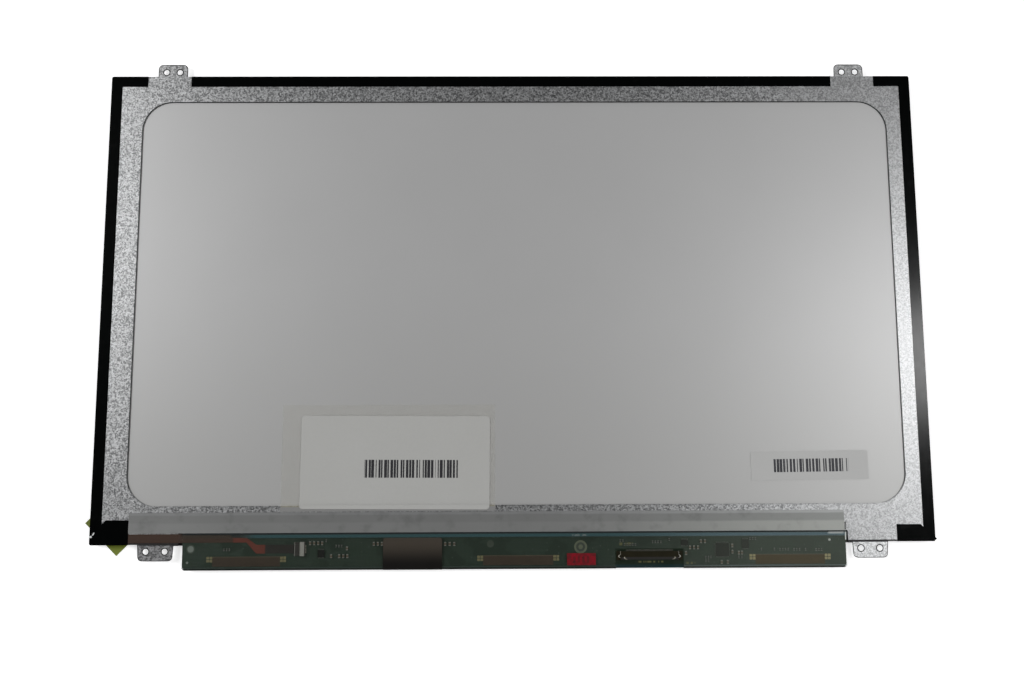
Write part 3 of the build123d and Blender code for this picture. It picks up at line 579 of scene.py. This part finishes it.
# Red sticker, rubbed thin in places
redSticker = {
    "ink": paint(120, 8, 24), "worn": paint(76, 20, 24), "block": paint(52, 22, 20),
    "blockMiddle": (28.4, -110.3), "blockHalf": (4.4, 1.3), "soft": 0.3, "blockShare": 0.55,
    "cell": 1.9, "cellSpan": (0.22, 0.78), "cellSoft": 0.12,
    "rubScale": 520, "rubSpan": (0.36, 0.66), "rubShare": 0.6, "rubRough": 0.15, "rubClear": 0.10,
    "alpha": 0.96, "rough": 0.50, "shine": 0.2, "depth": 0.006 * mm,
}


def stickerRecipe(desk, spot):
    look = redSticker
    x, y = desk.flat(spot)
    rub = desk.rise(desk.noise(spot, look["rubScale"], 3.0), *look["rubSpan"])
    # A row of plain darker blocks across its middle
    block = desk.band(desk.sum("FRACT", x * (1 / look["cell"])), *look["cellSpan"], look["cellSoft"])
    for place, middle, half in zip((x, y), look["blockMiddle"], look["blockHalf"]):
        block = block * desk.under(abs(place - middle), half, look["soft"])
    colour = desk.mix(look["rubShare"] * rub, look["ink"], look["worn"])
    return {
        "Base Color": desk.mix(look["blockShare"] * block, colour, look["block"]),
        "Specular IOR Level": look["shine"],
        "Roughness": look["rough"] + look["rubRough"] * rub,
        "Alpha": look["alpha"] - look["rubClear"] * rub,
        "Normal": desk.bump(rub, look["depth"]),
    }


# Plain finishes: two tones clouded together, with a grain in the surface
def plain(dark, light, scale, rough, metal=0.0, shine=0.5):
    return {"dark": paint(*dark), "light": paint(*light), "scale": scale, "rough": rough, "metal": metal,
            "shine": shine}


plainLooks = {
    "frameResin": plain((10, 10, 11), (19, 19, 20), 700, 0.52),
    "guideAcrylic": plain((196, 204, 205), (214, 220, 220), 60, 0.10),
    "diffuserSheet": plain((212, 213, 212), (226, 226, 225), 900, 0.62),
    "prismSheet": plain((186, 190, 192), (206, 209, 210), 1600, 0.30),
    "ledWhite": plain((204, 190, 120), (226, 222, 200), 800, 0.40),
    "rimFoam": plain((14, 14, 15), (24, 24, 25), 500, 0.70),
    "polariserSheet": plain((10, 10, 12), (15, 15, 18), 50, 0.14),
    "panelGlass": plain((30, 40, 38), (44, 56, 52), 30, 0.05),
    "guardFilm": plain((28, 32, 36), (36, 40, 44), 40, 0.12),
    "pullTab": plain((101, 113, 26), (118, 130, 34), 220, 0.55),
    "filmResin": plain((96, 66, 30), (122, 86, 40), 300, 0.35),
    "dieSilicon": plain((34, 34, 38), (48, 48, 54), 400, 0.22),
    "shellNickel": plain((28, 26, 14), (46, 42, 24), 500, 0.38, metal=0.6),
    "socketBlack": plain((16, 15, 12), (27, 25, 20), 900, 0.48),
    "contactMetal": plain((168, 164, 150), (206, 202, 188), 900, 0.26, metal=0.35),
    "contactTail": plain((76, 75, 68), (104, 103, 95), 900, 0.40, metal=0.2),
    # Brighter than the other strands: a painted glint on one hook
    "glintHookSteel": plain((196, 194, 186), (236, 235, 228), 1200, 0.30, metal=0.2),
    "chipMould": plain((8, 8, 8), (14, 13, 13), 1500, 0.55, shine=0.15),
    "ceramicTan": plain((62, 52, 40), (84, 70, 54), 1400, 0.45),
    "resistorBlack": plain((18, 18, 20), (30, 30, 32), 1400, 0.40),
    "tinCap": plain((90, 92, 86), (122, 124, 118), 1800, 0.40, metal=0.2),
    "leadTin": plain((64, 66, 62), (92, 94, 89), 1800, 0.45, metal=0.2),
    "padGold": plain((96, 92, 66), (122, 116, 84), 1500, 0.40, metal=0.2),
    "padBright": plain((126, 118, 84), (160, 150, 108), 1500, 0.40, metal=0.2),
    "landDark": plain((40, 48, 40), (54, 62, 52), 900, 0.45),
    "landOlive": plain((70, 76, 60), (92, 98, 78), 900, 0.45),
    # Painted shade on the ears' cut edges and hole walls
    "paintedEdgeShade": plain((26, 27, 27), (46, 47, 47), 1600, 0.60, shine=0.2),
    "bondBrown": plain((44, 35, 27), (56, 44, 32), 260, 0.40),
    "bondAmber": plain((50, 34, 8), (66, 46, 12), 260, 0.40, shine=0.2),
    "bondLine": plain((66, 58, 46), (80, 70, 56), 900, 0.40),
    "markInk": plain((150, 154, 148), (186, 190, 184), 1600, 0.55),
    "discGrey": plain((92, 100, 94), (112, 120, 112), 900, 0.42),
    "tornPaper": plain((186, 188, 188), (224, 226, 226), 2200, 0.65),
}
plainGrain = {"fineShare": 0.6, "wideShare": 0.4, "wider": 8, "roughSpread": 0.10, "depth": 0.003 * mm}


def plainRecipe(look):
    def recipe(desk, spot):
        grain = plainGrain
        cloud = desk.noise(spot, look["scale"], 4.0)
        wide = desk.noise(spot, look["scale"] / grain["wider"])
        tone = cloud * grain["fineShare"] + wide * grain["wideShare"]
        return {
            "Base Color": desk.mix(tone, look["dark"], look["light"]),
            "Metallic": look["metal"],
            "Roughness": look["rough"] + grain["roughSpread"] * (cloud - 0.5),
            "Specular IOR Level": look["shine"],
            "Normal": desk.bump(cloud, grain["depth"]),
        }
    return recipe


recipes = {name: plainRecipe(look) for name, look in plainLooks.items()}
recipes.update({
    "zinc": zincRecipe, "pearl": pearlRecipe, "tape": tapeRecipe, "mainPaper": labelRecipe(mainLabel),
    "smallPaper": labelRecipe(smallLabel), "clear": clearRecipe, "greyBand": greyRecipe,
    "boardMask": boardRecipe, "coverFilm": coverRecipe, "flex": flexRecipe, "shield": shieldRecipe,
    "sticker": stickerRecipe, "ribbonSocket": socketRecipe,
})
finishes = {name: makeFinish(name, recipe) for name, recipe in recipes.items()}

wornBy = {
    "zinc": ["rear_plate"],
    "frameResin": ["mould_frame"],
    "pearl": ["reflector_sheet"],
    "guideAcrylic": ["light_guide"],
    "diffuserSheet": ["upper_diffuser", "lower_diffuser"],
    "prismSheet": ["upper_prism_sheet", "lower_prism_sheet"],
    "ledWhite": ["led_packages"],
    "flex": ["led_flex"],
    "rimFoam": ["rim_tape"],
    "polariserSheet": ["rear_polariser", "front_polariser"],
    "panelGlass": ["tft_glass", "colour_filter_glass"],
    "guardFilm": ["front_film"],
    "pullTab": ["pull_tab"],
    "filmResin": ["driver_film_1", "driver_film_2", "driver_film_3"],
    "dieSilicon": ["driver_chip_1", "driver_chip_2", "driver_chip_3"],
    "boardMask": ["circuit_board"],
    "shellNickel": ["signal_connector_shell"],
    "socketBlack": ["signal_connector_housing"],
    "ribbonSocket": ["led_connector_housing", "led_connector_latch"],
    "contactMetal": ["led_connector_contacts"],
    "contactTail": ["signal_connector_contacts"],
    "chipMould": ["timing_controller", "led_driver_chip", "memory_chip", "power_chip"],
    "ceramicTan": ["capacitors"],
    "resistorBlack": ["resistors"],
    "coverFilm": ["board_film"],
    "greyBand": ["board_tape"],
    "shield": ["shield_tape"],
    "sticker": ["inspection_sticker"],
    "tape": ["side_tape_left", "side_tape_right", "top_tape_left", "top_tape_middle", "top_tape_right",
             "corner_tape_left", "corner_tape_right"],
    "clear": ["clear_film"],
    "mainPaper": ["main_label"],
    "smallPaper": ["small_label"],
}
for finish, wearers in wornBy.items():
    for wearer in wearers:
        nodes[wearer].data.materials.clear()
        nodes[wearer].data.materials.append(finishes[finish])
print("finishes:", len(finishes), "on", sum(len(w) for w in wornBy.values()), "nodes")


# Modelling helpers
def clearSelection():
    if bpy.context.object and bpy.context.object.mode != "OBJECT":
        bpy.ops.object.mode_set(mode="OBJECT")
    bpy.ops.object.select_all(action="DESELECT")


def choose(pieces):
    clearSelection()
    for piece in pieces:
        piece.select_set(True)
    bpy.context.view_layer.objects.active = pieces[0]


def settle(name, finish):
    piece = bpy.context.object
    piece.name = name
    piece.data.name = name
    bpy.ops.object.transform_apply(location=True, rotation=True, scale=True)
    piece.data.materials.append(finishes[finish])
    return piece


def startBox(name, low, high, finish):
    clearSelection()
    bpy.ops.mesh.primitive_cube_add(size=1, location=(low + high) / 2)
    bpy.context.object.scale = high - low
    return settle(name, finish)


def startDisc(name, middle, radius, depth, finish, vertices=28):
    clearSelection()
    bpy.ops.mesh.primitive_cylinder_add(vertices=vertices, radius=radius, depth=depth, location=middle)
    return settle(name, finish)


# How far a face or an edge has to point one way to be picked, as a cosine
roughly, closely = 0.5, 0.9


# Faces or edges chosen by their place or the way they point, left selected in edit mode
def pick(piece, kind, test):
    choose([piece])
    bpy.ops.object.mode_set(mode="EDIT")
    bpy.ops.mesh.select_mode(type=kind)
    bpy.ops.mesh.select_all(action="DESELECT")
    bpy.ops.object.mode_set(mode="OBJECT")
    mesh = piece.data
    if kind == "FACE":
        for face in mesh.polygons:
            face.select = test(face.center, face.normal)
    else:
        for edge in mesh.edges:
            first, second = (mesh.vertices[i].co for i in edge.vertices)
            edge.select = test((first + second) / 2, (second - first).normalized())
    bpy.ops.object.mode_set(mode="EDIT")


def done():
    bpy.ops.object.mode_set(mode="OBJECT")


def roundEdges(piece, offset, test, segments=2):
    pick(piece, "EDGE", test)
    bpy.ops.mesh.bevel(offset=offset, offset_type="OFFSET", segments=segments, affect="EDGES")
    done()


# Insets the picked faces and moves them up or down
def insetFaces(width, step):
    bpy.ops.mesh.inset(thickness=width)
    bpy.ops.transform.translate(value=(0, 0, step))


def copyTo(piece, step):
    twin = piece.copy()
    twin.data = piece.data.copy()
    twin.data.transform(Matrix.Translation(step))
    bpy.context.collection.objects.link(twin)
    return twin


def joinAll(name, parts):
    choose(parts)
    bpy.ops.object.join()
    parts[0].name = name
    parts[0].data.name = name
    return parts[0]


def fit(piece):
    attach(piece, "root")
    return piece


# Boxes round the separate solids of a node, read from a copy that is then deleted
def solidBoxes(nodeName):
    choose([copyTo(nodes[nodeName], Vector())])
    bpy.ops.object.mode_set(mode="EDIT")
    bpy.ops.mesh.select_all(action="SELECT")
    bpy.ops.mesh.remove_doubles(threshold=hair / 10)
    bpy.ops.mesh.separate(type="LOOSE")
    done()
    boxes = []
    for part in bpy.context.selected_objects:
        corners = [vertex.co for vertex in part.data.vertices]
        low = Vector(min(c[i] for c in corners) for i in range(3))
        high = Vector(max(c[i] for c in corners) for i in range(3))
        boxes.append((low, high))
    bpy.ops.object.delete()
    return sorted(boxes, key=lambda box: (round(box[0].x, 6), round(box[0].y, 6)))


# Soldered parts: a body between two tinned caps, modelled once and copied to each place
def makeSolderedParts(name, nodeName, look):
    boxes = solidBoxes(nodeName)
    low, high = boxes[0]
    middle = (low + high) / 2
    first = startBox(name, low, high, look["body"])
    first.data.materials.append(finishes["tinCap"])
    half = (high.y - low.y) / 2
    reach = half - look["cap"]
    for side in (-1, 1):
        pick(first, "FACE", lambda centre, normal: True)
        bpy.ops.mesh.bisect(plane_co=middle + Vector((0, side * reach, 0)), plane_no=(0, 1, 0))
        done()
    for face in first.data.polygons:
        face.material_index = 1 if abs(face.center.y - middle.y) > reach else 0
    # The body stands a little lower and narrower than its caps
    pick(first, "FACE", lambda centre, normal: abs(centre.y - middle.y) < reach and normal.z > roughly)
    insetFaces(look["cap"] * look["narrow"], -look["dip"])
    done()
    roundEdges(first, look["edge"], lambda centre, along: abs(along.y) < roughly
               and abs(abs(centre.y - middle.y) - half) < hair, 1)
    parts = [first] + [copyTo(first, (a + b) / 2 - middle) for a, b in boxes[1:]]
    whole = joinAll(name, parts)
    fit(whole)
    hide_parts(nodeName)
    return whole


capacitorParts = {"body": "ceramicTan", "slot": "capacitor", "cap": 0.42 * mm, "narrow": 0.12,
                  "dip": 0.03 * mm, "edge": 0.05 * mm}
resistorParts = {"body": "resistorBlack", "slot": "resistor", "cap": 0.27 * mm, "narrow": 0.12,
                 "dip": 0.02 * mm, "edge": 0.03 * mm}
makeSolderedParts("ceramicCapacitors", "capacitors", capacitorParts)
makeSolderedParts("chipResistors", "resistors", resistorParts)
print("soldered parts: capacitors and resistors")


# Bent leads along the upper side of a chip, and copies turned to its other sides
def makeLeads(name, nodeName, turns, look):
    low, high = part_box(nodeName)
    count = round((high.x - low.x - look["width"]) / look["pitch"])
    startX = (low.x + high.x) / 2 - (count - 1) * look["pitch"] / 2
    lift = boardBack + look["lift"]
    first = startBox(name, Vector((startX - look["width"] / 2, high.y, lift)),
                     Vector((startX + look["width"] / 2, high.y + look["shoulder"], lift + look["sheet"])),
                     "leadTin")
    # Out of the body, then down to a foot on the board
    pick(first, "FACE", lambda centre, normal: normal.y > roughly)
    for step in ((0, look["slant"], -look["lift"]), (0, look["foot"], 0)):
        bpy.ops.mesh.extrude_region_move(TRANSFORM_OT_translate={"value": step})
    done()
    upper = [first] + [copyTo(first, Vector((i * look["pitch"], 0, 0))) for i in range(1, count)]
    onMiddle, offMiddle = Matrix.Translation((low + high) / 2), Matrix.Translation(-(low + high) / 2)
    leads = list(upper)
    for turn in turns:
        for lead in upper:
            twin = copyTo(lead, Vector())
            twin.data.transform(onMiddle @ Matrix.Rotation(math.radians(turn), 4, "Z") @ offMiddle)
            leads.append(twin)
    return fit(joinAll(name, leads))


chipLeads = {"width": 0.22 * mm, "pitch": 0.5 * mm, "lift": 0.16 * mm, "sheet": 0.10 * mm,
             "shoulder": 0.22 * mm, "slant": 0.11 * mm, "foot": 0.22 * mm}
leadedChips = (("controllerLeads", "timing_controller", (90, 180, 270)),
               ("memoryLeads", "memory_chip", (180,)),
               ("powerLeads", "power_chip", (180,)),
               ("driverLeads", "led_driver_chip", (180,)))
for leadName, chipName, turns in leadedChips:
    makeLeads(leadName, chipName, turns, chipLeads)
print("leads: four chips")


# Bond strips of the three ribbon films, with four gold pads at each end
bondStrips = {
    "spans": ((-130.3, -96.6, "bondBrown", "padGold"), (-15.6, 19.2, "bondBrown", "padGold"),
              (100.3, 134.9, "bondAmber", "padBright")),
    "low": -112.6, "high": -108.5, "thick": 0.03 * mm, "rim": 0.25 * mm, "sink": 0.012 * mm,
    "padWidth": 1.15, "padHeight": 1.05, "padGap": 0.2, "padThick": 0.05 * mm, "padCorner": 0.12 * mm,
}


def makeBondStrips():
    look = bondStrips
    pads = []
    for number, (left, right, finish, gold) in enumerate(look["spans"], 1):
        padSpan = 2 * look["padWidth"] + look["padGap"]
        strip = startBox(f"bondStrip{number}", placeAt(left + padSpan, look["low"], boardBack),
                         placeAt(right - padSpan, look["high"], boardBack + look["thick"]), finish)
        strip.data.materials.append(finishes["bondLine"])
        pick(strip, "FACE", lambda centre, normal: normal.z > roughly)
        insetFaces(look["rim"], -look["sink"])
        done()
        # A paler line along the strip's upper side
        for face in strip.data.polygons:
            face.material_index = 1 if face.center.y > placeAt(0, look["high"]).y - look["rim"] else 0
        fit(strip)
        for end in (left, right - padSpan):
            for column in range(2):
                for row in range(2):
                    x = end + column * (look["padWidth"] + look["padGap"])
                    y = look["high"] - row * (look["padHeight"] + look["padGap"])
                    pad = startBox("goldPad", placeAt(x, y - look["padHeight"], boardBack),
                                   placeAt(x + look["padWidth"], y, boardBack + look["padThick"]), gold)
                    roundEdges(pad, look["padCorner"], lambda centre, along: abs(along.z) > closely)
                    pads.append(pad)
    fit(joinAll("goldMarks", pads))


makeBondStrips()
print("bond strips: three, with gold marks")


# Flat marks on the board: round lands and dots
boardMarks = {
    "thick": 0.03 * mm, "sink": 0.012 * mm, "rim": 0.30, "core": 0.34,
    "lands": (("roundLand", 28.4, -105.1, 2.75, ("landOlive", "landDark", "landOlive"), "contacts"),
              ("leftLand", -137.1, -105.3, 1.9, ("landDark", "discGrey", "discGrey"), "contacts"),
              ("middleLand", -10.0, -103.7, 1.5, ("landDark", "landDark", "landDark"), "contacts"),
              ("leftDot", -138.4, -110.9, 0.5, ("discGrey", "discGrey", "discGrey"), "resistor"),
              ("rightDot", 134.7, -102.6, 0.5, ("markInk", "markInk", "markInk"), "resistor")),
}


def makeBoardMarks():
    look = boardMarks
    for name, x, y, radius, (rim, ring, core), slot in look["lands"]:
        middle = placeAt(x, y, boardBack + look["thick"] / 2)
        land = startDisc(name, middle, radius * mm, look["thick"], rim)
        land.data.materials.append(finishes[ring])
        land.data.materials.append(finishes[core])
        # A raised rim, a sunk ring and a raised core
        pick(land, "FACE", lambda centre, normal: normal.z > roughly)
        insetFaces(radius * look["rim"] * mm, -look["sink"])
        insetFaces(radius * look["core"] * mm, look["sink"])
        done()
        for face in land.data.polygons:
            away = (face.center - middle).xy.length / mm / radius
            if face.normal.z > roughly and away < 1 - look["rim"]:
                face.material_index = 1 if away > look["core"] else 2
        fit(land)


makeBoardMarks()
print("board marks: lands and dots")


# Torn flecks on the left tape's lower corner, and the tip of tape past the right corner
tapeWear = {
    "flecks": ((-179.2, -99.9, 1.1, 0.8, 20.0), (-178.1, -98.8, 1.3, 0.55, 58.0)), "fleckThick": 0.03 * mm,
    "fleckRim": 0.12 * mm, "fleckSides": 14, "ragged": 0.12, "seed": 5,
    "tipMiddle": (179.75, -102.3), "tipRoot": 0.4, "tipReach": 0.55, "tipHeight": 0.9, "tipThick": 0.10 * mm,
    "tipPoint": (1, 0.15, 0.5),
}


def makeTapeWear():
    look = tapeWear
    chooser = random.Random(look["seed"])
    bits = []
    for x, y, length, width, turn in look["flecks"]:
        middle = placeAt(x, y, tapeBack + look["fleckThick"] / 2)
        bit = startDisc("tapeFleck", middle, length / 2 * mm, look["fleckThick"], "tornPaper",
                        look["fleckSides"])
        pull = Matrix.Translation(middle) @ Matrix.Rotation(math.radians(turn), 4, "Z")
        pull = pull @ Matrix.Diagonal((1, width / length, 1, 1)) @ Matrix.Translation(-middle)
        bit.data.transform(pull)
        pick(bit, "FACE", lambda centre, normal: normal.z > roughly)
        insetFaces(look["fleckRim"], look["fleckThick"])
        done()
        for vertex in bit.data.vertices:
            vertex.co.x += chooser.uniform(-look["ragged"], look["ragged"]) * mm
            vertex.co.y += chooser.uniform(-look["ragged"], look["ragged"]) * mm
        bits.append(bit)
    fit(joinAll("tapeFleck", bits))
    x, y = look["tipMiddle"]
    low = placeAt(x - look["tipRoot"], y - look["tipHeight"], tapeBack - look["tipThick"])
    high = placeAt(x + look["tipReach"], y + look["tipHeight"], tapeBack)
    tip = startBox("tapeTip", low, high, "tape")
    pick(tip, "FACE", lambda centre, normal: normal.x > roughly)
    bpy.ops.transform.resize(value=look["tipPoint"], center_override=placeAt(x, y, tapeBack))
    done()
    fit(tip)


makeTapeWear()
print("tape wear: flecks and tip")


# Spring hooks at the two ends of the signal connector
connectorHooks = {
    "width": 0.45, "sheet": 0.12 * mm, "lift": 0.16 * mm, "foot": (69.9, -107.0, 1.3),
    "bends": ((0.55, -0.35), (0.35, -0.55), (-0.45, -0.45), (-0.75, -0.25)),
    "inside": 2.3, "insideDrop": -0.5, "insideLift": 0.55 * mm,
}


def makeHooks():
    look = connectorHooks
    x, y, drop = look["foot"]
    level = boardBack + look["lift"]
    hook = startBox("hook", placeAt(x - look["width"] / 2, y - drop, level),
                    placeAt(x + look["width"] / 2, y, level + look["sheet"]), "glintHookSteel")
    for right, up in look["bends"]:
        pick(hook, "FACE", lambda centre, normal: normal.y < -closely)
        bpy.ops.mesh.extrude_region_move(TRANSFORM_OT_translate={"value": (right * mm, up * mm, 0)})
        done()
    # The second strand lies on the shell's roof, and the other end is a mirror image; these three take a
    # dimmer metal, so the first strand alone carries a painted glint
    second = copyTo(hook, Vector((-look["inside"] * mm, look["insideDrop"] * mm, look["insideLift"])))
    second.data.materials[0] = finishes["contactMetal"]
    shellLow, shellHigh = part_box("signal_connector_shell")
    across = shellLow.x + shellHigh.x
    parts = [hook, second]
    for strand in (hook, second):
        twin = copyTo(strand, Vector())
        twin.data.transform(Matrix.Translation((across, 0, 0)) @ Matrix.Diagonal((-1, 1, 1, 1)))
        twin.data.flip_normals()
        twin.data.materials[0] = finishes["contactMetal"]
        parts.append(twin)
    fit(joinAll("connectorHooks", parts))


makeHooks()
print("connector hooks: two at each end")


# Painted shade: thin dark rings along the edges of the four ears and round their holes, where the cut walls
# fall into shade
earShadeRims = {
    "width": 0.28 * mm, "thick": 0.02 * mm, "sheet": 0.3 * mm,
    "holeRadius": 1.225 * mm, "holeWidth": 0.42 * mm,
    "upper": {"spots": (-152.9, 152.9), "half": 6.6, "taper": 0.05, "root": 103.4, "end": 109.5,
              "corner": 2.0, "holes": 105.9, "spread": 3.0},
    "lower": {"spots": (-152.25, 152.25), "half": 7.7, "taper": 0.45, "root": -103.4, "end": -110.3,
              "corner": 1.8, "holes": -106.3, "spread": 4.025},
}


def openRing(piece, width):
    pick(piece, "FACE", lambda centre, normal: abs(normal.z) > closely)
    bpy.ops.mesh.inset(thickness=width)
    bpy.ops.mesh.bridge_edge_loops()
    done()


def makeEarShadeRims():
    look = earShadeRims
    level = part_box("rear_plate")[0].z + look["sheet"]
    rims = []
    for ear in (look["upper"], look["lower"]):
        x, farther = ear["spots"]
        low, high = sorted((ear["root"], ear["end"]))
        rim = startBox("earShadeRim", placeAt(x - ear["half"], low, level),
                       placeAt(x + ear["half"], high, level + look["thick"]), "paintedEdgeShade")
        end = placeAt(x, ear["end"])
        pick(rim, "FACE", lambda centre, normal: abs(centre.y - end.y) < hair)
        bpy.ops.transform.resize(value=(1 - ear["taper"] / ear["half"], 1, 1), center_override=end)
        done()
        roundEdges(rim, ear["corner"] * mm, lambda centre, along: abs(along.z) > closely
                   and abs(centre.y - end.y) < hair, 5)
        openRing(rim, look["width"])
        parts = [rim]
        for side in (-1, 1):
            middle = placeAt(x + side * ear["spread"], ear["holes"], level + look["thick"] / 2)
            hole = startDisc("holeShadeRim", middle, look["holeRadius"] + look["holeWidth"], look["thick"],
                             "paintedEdgeShade")
            openRing(hole, look["holeWidth"])
            parts.append(hole)
        one = joinAll("earShadeRim", parts)
        rims += [one, copyTo(one, Vector(((farther - x) * mm, 0, 0)))]
    fit(joinAll("earShadeRims", rims))


makeEarShadeRims()
print("ear rims: four ears, eight holes")

# Studio: pale floor, three soft boxes, and a sky that is dim above and bright at the horizon
studio = {
    "floorSize": 14.0, "floorDrop": 0.2 * mm, "floorColour": (0.80, 0.80, 0.80), "floorGlow": 0.55,
    "floorRough": 0.9, "white": (1.0, 1.0, 1.0), "zenith": 0.012, "shoulder": 0.18, "horizon": 1.35,
    "horizonSpan": (0.60, 0.28), "shoulderSpan": (0.84, 0.54),
    "boxes": (("rightBox", (0.74, 0.082, 0.85), (0.15, 0.45), 3.1),
              ("leftBox", (-1.14, 0.34, 0.85), (0.45, 0.40), 11.2),
              ("lowBox", (0.85, -0.55, 0.75), (0.50, 0.50), 2.6)),
}


# Matt paper, with a glow that only the camera, shiny pieces and clear ones see
def floorRecipe(desk, spot):
    kinds = ("Camera", "Glossy", "Transmission")
    camera, glossy, through = (desk.node("ShaderNodeLightPath", out=f"Is {kind} Ray") for kind in kinds)
    seen = desk.sum("MINIMUM", camera + glossy + through, 1.0)
    return {
        "Base Color": studio["floorColour"],
        "Roughness": studio["floorRough"],
        "Specular IOR Level": 0.0,
        "Emission Color": studio["white"],
        "Emission Strength": seen * studio["floorGlow"],
    }


def makeFloor():
    clearSelection()
    bpy.ops.mesh.primitive_plane_add(size=studio["floorSize"], location=(0, 0, -studio["floorDrop"]))
    floor = bpy.context.object
    floor.name = "floor"
    floor.data.materials.append(makeFinish("floorPaper", floorRecipe))


def makeWorld():
    world = bpy.data.worlds.new("studioWorld")
    world.use_nodes = True
    desk = Wire(world.node_tree)
    direction = desk.node("ShaderNodeTexCoord", out="Generated")
    up = desk.split(direction)[2]
    low = desk.rise(up, *studio["horizonSpan"])
    high = desk.rise(up, *studio["shoulderSpan"])
    level = desk.blend(high, studio["zenith"], studio["shoulder"])
    level = level + (studio["horizon"] - studio["shoulder"]) * low
    background = world.node_tree.nodes["Background"]
    desk.feed(background.inputs["Strength"], level)
    desk.feed(background.inputs["Color"], studio["white"])
    bpy.context.scene.world = world


def makeLights():
    aim = placeAt(0, 0)
    for name, spot, size, power in studio["boxes"]:
        clearSelection()
        bpy.ops.object.light_add(type="AREA", location=spot)
        lamp = bpy.context.object
        lamp.name = name
        lamp.rotation_euler = (aim - Vector(spot)).to_track_quat("-Z", "Y").to_euler()
        lamp.data.shape = "RECTANGLE"
        lamp.data.size, lamp.data.size_y = size
        lamp.data.energy = power


# Camera above the panel and a little below its middle, as in the picture
cameraRig = {"spot": (-3.748, -63.113, 392.627), "turn": (6.764, -0.457, -0.244),
             "lens": 31.64, "sensor": 36.0, "near": 0.01}


def makeCamera():
    x, y, height = cameraRig["spot"]
    clearSelection()
    bpy.ops.object.camera_add(location=placeAt(x, y, height * mm),
                              rotation=[math.radians(angle) for angle in cameraRig["turn"]])
    camera = bpy.context.object
    camera.data.lens = cameraRig["lens"]
    camera.data.sensor_width = cameraRig["sensor"]
    camera.data.clip_start = cameraRig["near"]
    bpy.context.scene.camera = camera


makeFloor()
makeWorld()
makeLights()
makeCamera()
bpy.context.scene.view_settings.view_transform = "Standard"
print("studio: floor, soft boxes, camera")
